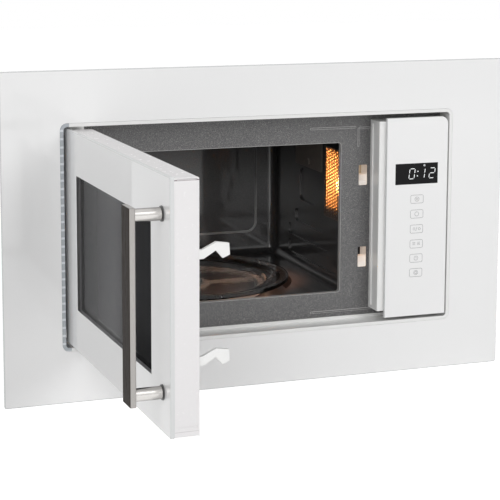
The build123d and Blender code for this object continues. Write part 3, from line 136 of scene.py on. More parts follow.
def seen(tree):
    """1 for a ray from the camera, from a reflection or through something clear, 0 for any other."""
    ray = add(tree, "LightPath").outputs
    indirect = calc(tree, "MAXIMUM", ray["Is Glossy Ray"], ray["Is Transmission Ray"])
    return calc(tree, "MAXIMUM", ray["Is Camera Ray"], indirect)


def light(name, kind, spot, aim, power):
    """A light at a spot, turned towards an aim."""
    lamp = bpy.data.lights.new(name, kind)
    lamp.energy = power
    holder = bpy.data.objects.new(name, lamp)
    holder.location = spot
    holder.rotation_euler = (Vector(aim) - Vector(spot)).to_track_quat("-Z", "Y").to_euler()
    bpy.context.scene.collection.objects.link(holder)
    holder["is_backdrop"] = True
    return lamp, holder


sheet_white, tree, shader = material("studio_white")
feed(tree, shader, {
    "Base Color": blend(tree, noise(tree, 3.0), (0.90, 0.90, 0.90), (0.93, 0.93, 0.93)),
    "Roughness": 0.9,
    "Emission Color": (1, 1, 1, 1),
    "Emission Strength": calc(tree, "MULTIPLY", seen(tree), 0.60),
})
sheet_z = -0.0031
sheet_corners = [(-6, -5, sheet_z), (6, -5, sheet_z), (6, 6, sheet_z), (-6, 6, sheet_z)]
floor_mesh = bpy.data.meshes.new("floor")
floor_mesh.from_pydata(sheet_corners, [], [(0, 1, 2, 3)])
floor_mesh.materials.append(sheet_white)
floor = bpy.data.objects.new("floor", floor_mesh)
bpy.context.scene.collection.objects.link(floor)
floor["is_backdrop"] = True

world = bpy.data.worlds.new("studio")
bpy.context.scene.world = world
world.use_nodes = True
sky = world.node_tree
sky_strength = calc(sky, "MULTIPLY_ADD", seen(sky), 0.59, 0.41)
feed(sky, sky.nodes["Background"], {"Color": (1, 1, 1, 1), "Strength": sky_strength})

for name, spot, aim, size, power in (
    ("key", (1.5, -2.2, 1.7), (0.0, 0.0, 0.15), 1.6, 26.0),
    ("left", (-1.6, -1.6, 2.0), (-0.1, -0.1, 0.18), 1.4, 14.0),
    ("front", (-1.1, -2.6, 0.9), (-0.1, 0.1, 0.17), 1.2, 11.0),
):
    lamp, holder = light(name, "AREA", spot, aim, power)
    lamp.shape, lamp.size = "SQUARE", size

# Light of the oven's own lamp: a small warm source in front of its plate.
# It falls on the chamber's floor and on the tray.
lamp, holder = light("oven_light", "SPOT", (0.095, 0.090, 0.225), (0.010, 0.130, 0.090), 1.6)
lamp.shadow_soft_size, lamp.color = 0.008, (1.0, 0.46, 0.28)
lamp.spot_size, lamp.spot_blend = math.radians(75), 0.6
holder.visible_camera = False


# Trim glass: toughened glass, printed white on its back, with ground edges.
# It is bonded to the carrier behind it.
def dress(node, made):
    """Gives a CAD node its material."""
    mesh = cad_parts[node].data
    mesh.materials.clear()
    mesh.materials.append(made)


def axes(tree, centre=(0, 0, 0), turned=0.0):
    """The three Object coordinates, taken from a centre and turned about the upright."""
    return add(tree, "SeparateXYZ", {0: place(tree, centre, turned)}).outputs


def ramp(tree, value, start, end, low=0.0, high=1.0):
    """Low where the value is at start, high where it is at end, straight between and level beyond."""
    return add(tree, "MapRange", {0: value, 1: start, 2: end, 3: low, 4: high}).outputs[0]


def length(tree, a, b):
    """The long side of a right-angled triangle with the short sides a and b."""
    squares = calc(tree, "MULTIPLY", a, a), calc(tree, "MULTIPLY", b, b)
    return calc(tree, "SQRT", calc(tree, "ADD", *squares))


def inside(tree, u, v, centre, half, radius, soft=0.00008):
    """1 inside a rounded rectangle in the plane of u and v, 0 outside: the distance from the rectangle
    shrunk by its corner radius, less that radius, turned into a share over a thin soft edge."""
    beyond = []
    for along, middle, reach in zip((u, v), centre, half):
        offset = calc(tree, "ABSOLUTE", calc(tree, "SUBTRACT", along, middle))
        beyond.append(calc(tree, "SUBTRACT", offset, reach - radius))
    away = length(tree, *(calc(tree, "MAXIMUM", part, 0.0) for part in beyond))
    deep = calc(tree, "MINIMUM", calc(tree, "MAXIMUM", *beyond), 0.0)
    gap = calc(tree, "SUBTRACT", calc(tree, "ADD", away, deep), radius)
    return ramp(tree, gap, soft, -soft)


def printed_glass(name, centre, half, corner, rim, turned=0.0, pivot=(0, 0, 0)):
    """White-backed glass: a white ground under a clear gloss, greyer where the cut edge shows."""
    made, tree, shader = material(name)
    u, depth, v = axes(tree, pivot, turned)
    sheet = inside(tree, u, v, centre, (half[0] - rim, half[1] - rim), max(corner - rim, 0.0003))
    print_white, edge_grey = (0.86, 0.86, 0.86), (0.66, 0.67, 0.67)
    clouded = blend(tree, noise(tree, 4.0), tuple(c * 0.985 for c in print_white), print_white)
    feed(tree, shader, {
        "Base Color": blend(tree, sheet, edge_grey, clouded),
        "Roughness": 0.45,
        "Coat Weight": 1.0,
        "Coat Roughness": 0.015,
        "Coat IOR": 1.5,
    })
    return made, tree, shader, u, v


trim_mid, trim_half = (0, 0.180), (0.2975, 0.183)
dress("trim_glass", printed_glass("trim_white_glass", trim_mid, trim_half, corner=0.002, rim=0.0011)[0])


# Trim carrier: ribbed grey-white plastic behind the glass.
# Its rim bears on the front edges of the kitchen cabinet.
def emboss(tree, shader, height, distance, strength=1.0):
    """Lets a pattern stand proud of the surface, by a distance in metres."""
    bump = add(tree, "Bump", {"Height": height, "Distance": distance, "Strength": strength})
    feed(tree, shader, {"Normal": bump.outputs[0]})


def finish(name, colour, rough=0.4, metal=0.0, grain=500.0, spread=0.04, bump=0.0, coat=0.0):
    """Plain finish: a fine noise shifts its colour, roughness and height a little."""
    made, tree, shader = material(name)
    speck = noise(tree, grain, 3.0)
    dark = tuple(c * (1 - spread) for c in colour)
    pale = tuple(min(1.0, c * (1 + spread)) for c in colour)
    feed(tree, shader, {
        "Base Color": blend(tree, speck, dark, pale),
        "Roughness": calc(tree, "MULTIPLY_ADD", speck, 0.08, rough - 0.04),
        "Metallic": metal,
        "Coat Weight": coat,
        "Coat Roughness": 0.02,
    })
    if bump:
        emboss(tree, shader, speck, bump)
    return made


dress("trim_carrier", finish("carrier_moulding", (0.70, 0.70, 0.69), rough=0.5, grain=900.0, bump=0.00003))


# Recess liner: glossy white moulded sleeve between the glass and the oven's face, with a lip at its front.
# A row of slots runs down its hinge side. That side is painted bluish grey as the door's shade,
# and painted ribs are drawn on the lip of that side: pale lines over darker bands of painted groove shade.
def gloss_moulding(name, colour=(0.84, 0.84, 0.83), rough=0.24, coat=0.35):
    """Glossy moulded plastic, pale and almost even in colour."""
    return finish(name, colour, rough=rough, grain=300.0, spread=0.015, bump=0.000008, coat=coat)


def tint(tree, shader, share, colour):
    """Mixes a colour over a material's own, by a share from 0 to 1."""
    before = shader.inputs["Base Color"].links[0].from_socket
    feed(tree, shader, {"Base Color": blend(tree, share, before, colour)})


rib_pitch = 0.009
liner = gloss_moulding("liner_moulding")
tree, shader = shader_of(liner)
x, y, z = axes(tree)
# Painted shade: the hinge side is tinted bluish grey, with painted ribs of pale lines and darker groove shade
# at the rib pitch.
painted_shade_side = ramp(tree, x, -0.2225, -0.2230)
painted_groove_shade = ramp(tree, calc(tree, "FRACT", calc(tree, "DIVIDE", z, rib_pitch)), 0.24, 0.30)
tint(tree, shader, painted_shade_side, blend(tree, painted_groove_shade, (0.64, 0.67, 0.70), (0.40, 0.43, 0.46)))
dress("recess_liner", liner)


# Liner flange: the liner's ribbed back edge on the hinge side, which closes the gap before the steel face.
# It is moulded with the liner, and is added here because the CAD liner ends flat.
# Its profile repeats one groove and one rib, and is carried straight across from side to side.
def mesh_piece(name, points, faces, made):
    """A new mesh object on the oven's body, with its place in its mesh."""
    mesh = bpy.data.meshes.new(name)
    mesh.from_pydata(np.asarray(points).tolist(), [], [[int(i) for i in face] for face in faces])
    mesh.polygons.foreach_set("use_smooth", [False] * len(mesh.polygons))
    mesh.materials.append(made)
    piece = bpy.data.objects.new(name, mesh)
    bpy.context.scene.collection.objects.link(piece)
    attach(piece, "body")
    return piece


def walls(first, second, n):
    """Four-sided faces between two closed rings of n points, numbered from first and from second."""
    here = np.arange(n)
    after = (here + 1) % n
    return np.stack([first + here, second + here, second + after, first + after], 1)


flange_x, flange_foot, rib_count = (-0.2289, -0.2236), 0.082, 23
back_y, groove_y, rib_y = 0.0139, 0.0136, 0.0132
groove_top, rib_start = 0.0066, 0.0070
step = np.array([(groove_y, 0.0), (groove_y, groove_top), (rib_y, rib_start), (rib_y, rib_pitch)])
step_feet = flange_foot + rib_pitch * np.arange(rib_count)
ribbed = np.stack([np.tile(step[:, 0], rib_count), np.add.outer(step_feet, step[:, 1]).ravel()], 1)
profile = np.concatenate([[(back_y, flange_foot)], ribbed, [(back_y, flange_foot + rib_pitch * rib_count)]])
n = len(profile)
points = np.concatenate([np.insert(profile, 0, x, 1) for x in flange_x])
faces = [range(n), range(2 * n - 1, n - 1, -1), *walls(0, n, n)]
# It takes the liner's material, so its face carries the same painted shade and painted ribs.
mesh_piece("liner_flange", points, faces, liner)


# Trim brackets: folded galvanised steel, screwed to the carrier and to the oven's sides.
# The spangle of the zinc is a pattern of flat grey cells.
def zinc(name, colour, cells=140.0):
    """Galvanised sheet: cells of slightly different grey, with a soft satin gloss."""
    made, tree, shader = material(name)
    cell = add(tree, "TexVoronoi", {"Vector": place(tree), "Scale": cells}).outputs["Color"]
    grey = add(tree, "RGBToBW", {0: cell}).outputs[0]
    feed(tree, shader, {
        "Base Color": blend(tree, grey, tuple(c * 0.86 for c in colour), colour),
        "Roughness": calc(tree, "MULTIPLY_ADD", grey, 0.16, 0.34),
        "Metallic": 0.9,
    })
    return made


galvanised = zinc("galvanised_sheet", (0.60, 0.61, 0.62))
dress("trim_brackets", galvanised)


# Face plate: pressed steel with a dark grey stoved finish that carries a fine light speckle.
# It closes the front of the body and frames the chamber's mouth.
def enamel(name, ground, fleck, amount, rough, pits):
    """Speckled stoved finish: light and dark flecks of under a millimetre over a ground colour."""
    made, tree, shader = material(name)
    fine, coarse = noise(tree, 1900.0, 1.0), noise(tree, 700.0, 2.0)
    dark = ramp(tree, coarse, 0.45, 0.30, 0.0, 0.45)
    base = blend(tree, dark, ground, tuple(c * 0.45 for c in ground))
    light_flecks = ramp(tree, fine, 0.56, 0.70, 0.0, amount)
    feed(tree, shader, {"Base Color": blend(tree, light_flecks, base, fleck), "Roughness": rough})
    emboss(tree, shader, coarse, pits)
    return made, tree, shader


def painted_highlight_rim(tree, shader, outlines, strength):
    """Painted highlight: a pale line along the edge of pressed forms, which stands in for the light they
    catch.
    Each outline is a rounded rectangle's centre, half size and corner radius, and half its line's width:
    the line lies between that shape grown and shrunk by this last value."""
    u, depth, v = axes(tree)
    total = 0.0
    for centre, half, corner, line in outlines:
        grown, shrunk = (inside(tree, u, v, centre, (half[0] + by, half[1] + by), corner + by)
                         for by in (line, -line))
        total = calc(tree, "MAXIMUM", total, calc(tree, "SUBTRACT", grown, shrunk))
    # The pale colour laid on here is a painted highlight.
    tint(tree, shader, calc(tree, "MULTIPLY", total, strength), (0.62, 0.61, 0.60))


face, tree, shader = enamel("face_speckle", (0.100, 0.099, 0.100), (0.35, 0.345, 0.34),
                            amount=0.9, rough=0.40, pits=0.00005)
beads = (((0.0935, 0.285), (0.0285, 0.0010)), ((0.1329, 0.2838), (0.0069, 0.0010)),
         ((0.1055, 0.069), (0.0385, 0.0010)), ((0.1254, 0.273), (0.0010, 0.0110)))
bead_corner, bead_line = 0.0009, 0.0003
mouth = ((-0.041, 0.1795), (0.1445, 0.088), 0.0035, 0.0005)
# Painted highlight: pale lines along the edges of the beads and round the chamber's mouth.
painted_highlight_rim(tree, shader, [(*bead, bead_corner, bead_line) for bead in beads] + [mouth], 0.55)
dress("face_plate", face)

# Chamber: enamelled steel box with pressed panels, a well for the turntable
# and openings for lamp, waves and grill. Its gloss fades towards the ceiling,
# and its colour is painted darker there as shade.
chamber, tree, shader = enamel("chamber_enamel", (0.060, 0.059, 0.060), (0.20, 0.195, 0.19),
                               amount=0.5, rough=0.32, pits=0.00001)
x, y, z = axes(tree)
gloss = ramp(tree, z, 0.265, 0.175)
feed(tree, shader, {
    "Coat Weight": gloss,
    "Coat Roughness": 0.06,
    "Specular IOR Level": calc(tree, "MULTIPLY", gloss, 0.5),
})
# Painted shade: the enamel is darkened towards the ceiling.
painted_ceiling_shade = ramp(tree, z, 0.17, 0.25, 0.25, 0.85)
tint(tree, shader, painted_ceiling_shade, (0.010, 0.009, 0.009))
# Painted highlight: a pale line round the back wall's pressed panel, strongest at its foot and fading out
# upwards.
back_panel_edge = ((-0.041, 0.18625), (0.134, 0.06975), 0.013, 0.0011)
on_back_wall = ramp(tree, y, 0.258, 0.262)
highlight_fading_up = ramp(tree, z, 0.19, 0.118, 0.06, 0.7)
painted_highlight_rim(tree, shader, [back_panel_edge], calc(tree, "MULTIPLY", on_back_wall, highlight_fading_up))
dress("chamber", chamber)


# Lamp plate: thin enamelled sheet with a close pattern of six-sided holes, over the lamp's opening.
# It stands for the CAD plate, whose holes are fewer and larger.
def perforated(low, high, columns, rows, hole):
    """Sheet of cells in columns, each second column half a cell lower. A cell is a ring between its own
    rectangle and a six-sided hole: the outer edge goes round the rectangle by angle, and the inner edge
    round the hexagon, whose radius grows from its flats to its corners. Both faces and the holes' walls
    are made, and the cells at the foot and the head reach to the sheet's edges."""
    step_y, step_z = (high[1] - low[1]) / columns, (high[2] - low[2]) / (rows + 0.5)
    angles = np.linspace(0, 2 * np.pi, 12, endpoint=False)
    n = len(angles)
    ring = np.stack([np.cos(angles), np.sin(angles)], 1)
    edge = ring / np.max(np.abs(ring), axis=1, keepdims=True) * (step_y / 2, step_z / 2)
    corner_reach = 1.0 / math.cos(math.pi / 6)
    hexagon = ring * hole * np.where(np.arange(n) % 2 == 0, corner_reach, 1.0)[:, None]
    column, row = np.divmod(np.arange(columns * rows), rows)
    middle_y = low[1] + step_y * (column + 0.5)
    middle_z = low[2] + step_z * (row + np.where(column % 2 == 1, 0.5, 1.0))
    middle = np.stack([middle_y, middle_z], 1)[:, None]
    outer, inner = edge + middle, hexagon + middle
    tiny = 1e-6
    at_foot = (row == 0)[:, None] & (outer[:, :, 1] < middle[:, :, 1] - tiny)
    at_head = (row == rows - 1)[:, None] & (outer[:, :, 1] > middle[:, :, 1] + tiny)
    outer[:, :, 1] = np.where(at_foot, low[2], np.where(at_head, high[2], outer[:, :, 1]))
    rings = np.concatenate([outer, inner], 1)
    points = np.concatenate([np.insert(rings, 0, x, 2) for x in (low[0], high[0])], 1).reshape(-1, 3)
    front, back, wall = walls(0, n, n), walls(2 * n, 3 * n, n)[:, (0, 3, 2, 1)], walls(n, 3 * n, n)
    cell = np.stack([front, back, wall], 1).reshape(-1, 4)
    first = 4 * n * np.arange(columns * rows)
    return points, (first[:, None, None] + cell).reshape(-1, 4)


grille_enamel = enamel("lamp_plate_enamel", (0.10, 0.075, 0.060), (0.2, 0.17, 0.14),
                       amount=0.4, rough=0.35, pits=0.00002)[0]
low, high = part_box("lamp_grille")
points, faces = perforated(low, high, columns=9, rows=21, hole=0.00145)
lamp_plate = mesh_piece("lamp_plate", points, faces, grille_enamel)
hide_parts("lamp_grille")

# Lamp holder: heat-proof pale plastic box, clipped behind the plate.
# It carries the lamp and throws its light forward.
dress("lamp_holder", finish("lamp_box", (0.86, 0.76, 0.58), rough=0.5, grain=700.0, bump=0.00003))

# Lamp: small clear bulb that stands in its holder.
# Its glow is strongest at the filament's height, and fades above and below it.
glow, tree, shader = material("lamp_glow")
filament = (0.134, 0.0743, 0.214)
x, y, height = axes(tree, filament)
heat = ramp(tree, calc(tree, "ABSOLUTE", height), 0.020, 0.0, 0.08, 1.0)
feed(tree, shader, {
    "Base Color": (0.9, 0.8, 0.6, 1),
    "Emission Color": (1.0, 0.40, 0.12, 1),
    "Emission Strength": calc(tree, "MULTIPLY", heat, 100.0),
})
dress("lamp_bulb", glow)

# Waveguide cover: mica sheet with a faint layered grain.
# It is clipped over the mouth of the waveguide.
dress("waveguide_cover", finish("mica_sheet", (0.16, 0.14, 0.125), rough=0.5, grain=260.0, spread=0.35))

# Waveguide: duct of galvanised sheet that leads the waves into the chamber.
# It is spot-welded to the chamber's side.
dress("waveguide", galvanised)

# Magnetron: bright aluminium fins in a zinc-coated yoke.
# It is screwed to the waveguide.
aluminium = finish("cast_aluminium", (0.70, 0.70, 0.70), rough=0.35, metal=1.0, grain=900.0, spread=0.08)
dress("magnetron", aluminium)

# Transformer: a stack of lacquered core sheets on feet.
# It stands on the base pan.
core_steel = finish("core_steel", (0.16, 0.15, 0.15), rough=0.5, metal=0.7, grain=1500.0, spread=0.25)
dress("transformer_core", core_steel)

# Windings: enamelled copper wire, wound in flat turns round the core's middle leg.
# The turns are bands across the upright.
copper, tree, shader = material("wound_copper")
turns = add(tree, "TexWave", {"Vector": place(tree), "Scale": 180.0, "Distortion": 0.4},
            wave_type="BANDS", bands_direction="Z").outputs["Fac"]
feed(tree, shader, {
    "Base Color": blend(tree, turns, (0.28, 0.10, 0.035), (0.80, 0.36, 0.16)),
    "Metallic": 0.9,
    "Roughness": 0.3,
})
emboss(tree, shader, turns, 0.0003)
dress("transformer_coils", copper)

# Capacitor: oval can of drawn aluminium with two tabs.
# It is strapped to the base pan.
can_metal = finish("capacitor_can", (0.62, 0.62, 0.60), rough=0.38, metal=0.9, grain=120.0, spread=0.05)
dress("capacitor", can_metal)

# Diode: black moulded body.
# It is carried by its earthed lug.
dress("diode", finish("diode_black", (0.03, 0.03, 0.03), rough=0.45, grain=1200.0, spread=0.3))

# Fan frame: grey moulding with an air guide towards the magnetron.
# It is screwed inside the back panel.
fan_plastic = finish("fan_moulding", (0.22, 0.22, 0.23), rough=0.5, grain=900.0, spread=0.08, bump=0.00003)
dress("fan_shroud", fan_plastic)

# Fan motor: stack of steel sheets with its coil.
# It is carried by the frame's arms.
dress("fan_motor", finish("motor_stack", (0.30, 0.29, 0.28), rough=0.45, metal=0.8, grain=1600.0, spread=0.2))

# Impeller: pale moulded blades on a hub.
# It is pressed on the motor's shaft.
dress("fan_impeller", finish("impeller_moulding", (0.62, 0.62, 0.60), rough=0.45, grain=800.0, bump=0.00002))

# Turntable motor: flat zinc-coated can under the chamber's floor.
# Its shaft carries the driver.
dress("turntable_motor", zinc("motor_can", (0.62, 0.62, 0.63), 260.0))

# Driver, roller ring and rollers: moulded parts that the tray stands on.
# The driver sits on the motor's shaft, and the ring lies loose in the chamber's well.
driver_tan = finish("driver_moulding", (0.66, 0.62, 0.55), rough=0.35, grain=900.0, spread=0.05, bump=0.00002)
for node in ("turntable_driver", "roller_ring", "roller_1", "roller_2", "roller_3"):
    dress(node, driver_tan)

# Tray: pressed clear glass with a faint swirl.
# It lies loose on the rollers and the driver.
tray_clear, tree, shader = material("tray_glass_clear")
swirl = noise(tree, 60.0)
feed(tree, shader, {
    "Base Color": blend(tree, swirl, (0.90, 0.94, 0.93), (0.97, 0.99, 0.98)),
    "Transmission Weight": 1.0,
    "Roughness": 0.03,
    "IOR": 1.5,
})
emboss(tree, shader, swirl, 0.0004, 0.5)
dress("glass_tray", tray_clear)

# Grill: mirror-bright tray over the slots of the chamber's ceiling.
# It holds two quartz heating tubes.
dress("grill_reflector", finish("mirror_sheet", (0.80, 0.80, 0.80), rough=0.15, metal=1.0, grain=400.0))
dress("grill_tubes", finish("quartz_white", (0.80, 0.78, 0.75), rough=0.3, spread=0.05, coat=0.4))

# Case: cover, base pan and back panel, folded from galvanised sheet.
# They are screwed together round the chamber.
dress("body_cover", zinc("cover_sheet", (0.64, 0.65, 0.66), 110.0))
dress("base_pan", galvanised)
dress("back_panel", zinc("back_sheet", (0.60, 0.61, 0.62), 120.0))

# Inlet: black moulded bush in the back panel.
# The mains lead passes through it.
black = finish("black_moulding", (0.035, 0.035, 0.036), rough=0.45, grain=900.0, spread=0.2, bump=0.00003)
dress("cord_inlet", black)

# Rails and feet: zinc-coated rails under the base pan, on black rubber feet.
# They lift the oven to the height of the trim's opening.
dress("rail_left", galvanised)
dress("rail_right", galvanised)
dress("feet", finish("foot_rubber", (0.028, 0.028, 0.028), rough=0.8, grain=1500.0, spread=0.3, bump=0.00005))

# Hinge brackets: plated steel with the pins that the door turns on.
# They are welded to the face plate.
plated = finish("plated_steel", (0.55, 0.55, 0.54), rough=0.32, metal=1.0, grain=900.0, spread=0.08)
dress("hinge_bracket_top", plated)
dress("hinge_bracket_bottom", plated)

# Latch board: white moulding behind the latch slots, with a ramped catch for each hook.
# The door's three switches sit on it. A faint glow stands for the lamplight that reaches it inside
# the oven: warmer at the inner edge of each slot's upper half, and a little stronger in the lower slot.
hook_pitch, board_foot = 0.097, (0.137, 0.0, 0.083)
latch_white, tree, shader = material("latch_board_moulding")
x, y, z = axes(tree, board_foot)
level = calc(tree, "SUBTRACT", calc(tree, "MODULO", z, hook_pitch), hook_pitch / 2)
upper_half, inner_edge = ramp(tree, level, -0.002, 0.002), ramp(tree, x, 0.0018, 0.0004)
warm = calc(tree, "MULTIPLY", upper_half, inner_edge)
slot_glow = ramp(tree, z, 0.10, 0.09, 0.24, 0.30)
feed(tree, shader, {
    "Base Color": blend(tree, noise(tree, 90.0), (0.80, 0.79, 0.77), (0.85, 0.85, 0.84)),
    "Emission Color": blend(tree, warm, (1.0, 0.83, 0.70), (1.0, 0.42, 0.11)),
    "Emission Strength": calc(tree, "MULTIPLY_ADD", warm, 0.2, slot_glow),
    "Roughness": 0.35,
})
dress("latch_board", latch_white)
dress("microswitches", finish("switch_moulding", (0.10, 0.09, 0.085), grain=1000.0, spread=0.2))

# Control housing: glossy white moulded box at the right of the recess.
# It carries the control glass and the boards.
dress("control_housing", gloss_moulding("white_moulding"))

# Control glass: white-printed glass with a dark display window.
# It is bonded to the housing.
panel_mid, panel_half = (0.1872, 0.1803), (0.0388, 0.1171)
window_mid, window_half = (0.1866, 0.2317), (0.0270, 0.01225)
control, tree, shader, u, v = printed_glass("control_white_glass", panel_mid, panel_half,
                                            corner=0.0006, rim=0.0005)
window = inside(tree, u, v, window_mid, window_half, radius=0.0004)
before = shader.inputs["Base Color"].links[0].from_socket
shade = blend(tree, window, (1, 1, 1), (0.006, 0.006, 0.007))
shaded = add(tree, "Mix", {"Factor": 1.0, 6: before, 7: shade}, data_type="RGBA", blend_type="MULTIPLY")
feed(tree, shader, {
    "Base Color": shaded.outputs[2],
    "Coat Weight": calc(tree, "MULTIPLY_ADD", window, -0.85, 1.0),
    "Specular IOR Level": calc(tree, "MULTIPLY_ADD", window, -0.45, 0.5),
})
dress("control_glass", control)


# Clock digits: the lit segments of the display, white, leaning a little to the right.
# They shine through the dark window, and are thin flat shapes on the glass here.
def bar(a, b, width):
    """Six-sided flat segment from a to b: as wide as stated, and pointed over half its width at each end."""
    along = (b - a) / np.linalg.norm(b - a)
    across = np.array((-along[1], along[0])) * width / 2
    tip = along * width / 2
    return np.array([a, a + tip + across, b - tip + across, b, b - tip - across, a + tip - across])


def circle(x, z, r, start=0, sweep=360, steps=20):
    """Points on a circle about x and z, over a sweep in degrees. Both ends are there, and a full circle
    has its first point only once."""
    count = steps if sweep == 360 else steps + 1
    angles = np.radians(start + sweep * np.arange(count) / steps)
    return np.stack([x + r * np.cos(angles), z + r * np.sin(angles)], 1)


def flat_piece(name, outlines, y, depth, made):
    """Thin raised shapes on an upright plane: each outline becomes a front face that stands out by
    depth, and side walls back to the plane."""
    points, faces, start = [], [], 0
    for outline in outlines:
        n = len(outline)
        points += [np.insert(outline, 1, y - depth, 1), np.insert(outline, 1, y, 1)]
        faces += [range(start, start + n), *walls(start, start + n, n)]
        start += 2 * n
    return mesh_piece(name, np.concatenate(points), faces, made)


digit_light, tree, shader = material("digit_light")
feed(tree, shader, {
    "Base Color": (0.2, 0.2, 0.2, 1),
    "Emission Color": blend(tree, noise(tree, 900.0), (0.86, 0.92, 0.95), (1, 1, 1)),
    "Emission Strength": 0.95,
})
glass_y = -0.0150
segments = {"a": ((0, 2), (1, 2)), "b": ((1, 1), (1, 2)), "c": ((1, 0), (1, 1)), "d": ((0, 0), (1, 0)),
            "e": ((0, 0), (0, 1)), "f": ((0, 1), (0, 2)), "g": ((0, 1), (1, 1))}
digit_low, digit_high, digit_w, lean = 0.2259, 0.2376, 0.0066, 0.13
segment_gap, segment_w = 0.0006, 0.00075
outlines = []
for left, lit in ((0.1766, "abcdef"), (0.1894, "bc"), (0.2022, "abged")):
    for key in lit:
        ends = np.array(segments[key]) * (digit_w, (digit_high - digit_low) / 2)
        run = (ends[1] - ends[0]) / np.linalg.norm(ends[1] - ends[0])
        shape = bar(ends[0] + run * segment_gap, ends[1] - run * segment_gap, segment_w)
        outlines.append(shape @ ((1, 0), (lean, 1)) + (left, digit_low))
dot_x, dot_r = 0.1871, 0.0007
for z in (0.2290, 0.2343):
    outlines.append(circle(dot_x + lean * (z - digit_low), z, dot_r, steps=10))
ring_x, ring_z = 0.1963, 0.2410
rim, core = (circle(ring_x, ring_z, r, steps=10) for r in (0.0011, 0.0006))
outlines += list(np.stack([np.roll(rim, 1, 0), rim, core, np.roll(core, 1, 0)], 1))
flat_piece("clock_digits", outlines, glass_y, 0.00003, digit_light)


# Key marks: pale grey print on the control glass.
# Six touch keys are outlined, each with a plain sign.
def ribbon(path, width, closed=True):
    """Flat line along a path: each point is moved half the width to both sides, square to its neighbours."""
    path = np.array(path, float)
    ahead = np.roll(path, -1, 0) - np.roll(path, 1, 0)
    if not closed:
        ahead[0], ahead[-1] = path[1] - path[0], path[-1] - path[-2]
    ahead /= np.linalg.norm(ahead, axis=1, keepdims=True)
    across = np.stack([-ahead[:, 1], ahead[:, 0]], 1) * width / 2
    outer, inner = path + across, path - across
    pieces = np.stack([outer, np.roll(outer, -1, 0), np.roll(inner, -1, 0), inner], 1)
    return list(pieces if closed else pieces[:-1])


def rounded(x, z, w, h, r):
    """Outline of a rounded rectangle about x and z, w wide and h high: a quarter circle at each corner."""
    dx, dz = w / 2 - r, h / 2 - r
    corners = ((dx, dz, 0), (-dx, dz, 90), (-dx, -dz, 180), (dx, -dz, 270))
    return np.concatenate([circle(x + cx, z + cz, r, start, 90, 5) for cx, cz, start in corners])


key_x, key_w, key_h, key_corner, line = 0.1876, 0.0160, 0.0096, 0.0018, 0.00042
key_heights = (0.2017, 0.1842, 0.1665, 0.1488, 0.1318, 0.1146)


def stroke(z, *offsets):
    """Open line through points that are given from the middle of a key."""
    return ribbon([(key_x + dx, z + dz) for dx, dz in offsets], line, closed=False)


def sign(number, z):
    """The sign of a key, about the key's middle: rings, an arch with a slash and a ring, two combs,
    a clock, or a square in a ring."""
    if number == 0:
        return ribbon(circle(key_x, z, 0.0026), line) + ribbon(circle(key_x, z, 0.0011), line)
    if number == 1:
        return ribbon(circle(key_x, z, 0.0025), line)
    if number == 2:
        arch = stroke(z, (-0.0042, -0.0015), (-0.0042, 0.0016), (-0.0022, 0.0016), (-0.0022, -0.0015))
        slash = stroke(z, (-0.0010, -0.0024), (0.0006, 0.0024))
        return arch + slash + ribbon(circle(key_x + 0.0036, z, 0.0014), line)
    if number == 3:
        combs = []
        for dx in (-0.0030, 0.0030):
            combs += stroke(z, (dx - 0.0018, 0.0018), (dx + 0.0018, 0.0018))
            for tooth in (-0.0012, 0.0, 0.0012):
                combs += stroke(z, (dx + tooth, 0.0009), (dx + tooth, -0.0014))
        return combs
    if number == 4:
        return ribbon(circle(key_x, z, 0.0025), line) + stroke(z, (0, 0.0017), (0, 0), (0.0013, 0))
    return ribbon(circle(key_x, z, 0.0026), line) + ribbon(rounded(key_x, z, 0.0024, 0.0024, 0.0005), line)


ink = finish("grey_print", (0.24, 0.24, 0.25), grain=2500.0, spread=0.05)
marks = []
for number, z in enumerate(key_heights):
    marks += ribbon(rounded(key_x, z, key_w, key_h, key_corner), line) + sign(number, z)
flat_piece("key_marks", marks, glass_y, 0.00002, ink)

# Display module and control board: black display block, and green board with relays.
# Both sit in the housing, behind the control glass.
dress("display_module", finish("display_black", (0.015, 0.015, 0.017), rough=0.15, grain=400.0, spread=0.2))
dress("control_board", finish("board_green", (0.02, 0.16, 0.07), rough=0.35, grain=260.0, spread=0.3))

# Mains filter and heat cut-outs: a board with a choke and a capacitor above the transformer,
# and small ceramic switches on the chamber's side and on the grill's cover.
dress("noise_filter", finish("filter_board", (0.05, 0.17, 0.08), grain=300.0, spread=0.4))
dress("thermal_cutouts", finish("cutout_ceramic", (0.74, 0.72, 0.68), grain=700.0, spread=0.06))

# Door glass: printed white round a clear window, and bonded to the door's frame.
# The pattern is laid out on the closed door, and turned with it about the hinge.
# The window mirrors most in its middle, and hardly at the handle's end.
pin, swung = (-0.2167, -0.0065, 0.0), math.radians(-88.4)
door_mid, door_half = (-0.0438 - pin[0], 0.182), (0.1808, 0.118)
pane_mid, pane_half, pane_left = (-0.047 - pin[0], 0.182), (0.129, 0.0725), -0.176 - pin[0]
door_white, tree, shader, u, v = printed_glass("door_white_glass", door_mid, door_half,
                                               corner=0.002, rim=0.0007, turned=swung, pivot=pin)
pane = inside(tree, u, v, pane_mid, pane_half, radius=0.0006)
across = calc(tree, "DIVIDE", calc(tree, "SUBTRACT", u, pane_left), 2 * pane_half[0])
rising, falling = ramp(tree, across, 0.0, 0.45, 0.15, 0.40), ramp(tree, across, 0.55, 0.82, 1.0, 0.06)
fresnel = add(tree, "Fresnel", {"IOR": 1.5}).outputs[0]
mirror_share = calc(tree, "MULTIPLY", fresnel, calc(tree, "MULTIPLY", rising, falling))
clear = add(tree, "BsdfTransparent", {"Color": (0.62, 0.62, 0.63, 1)}).outputs[0]
sheen = add(tree, "BsdfGlossy", {"Color": (1, 1, 1, 1), "Roughness": 0.02}).outputs[0]
bare_glass = add(tree, "MixShader", {0: mirror_share, 1: clear, 2: sheen}).outputs[0]
either = add(tree, "MixShader", {0: pane, 1: shader.outputs[0], 2: bare_glass}).outputs[0]
feed(tree, tree.nodes["Material Output"], {"Surface": either})
dress("door_glass", door_white)
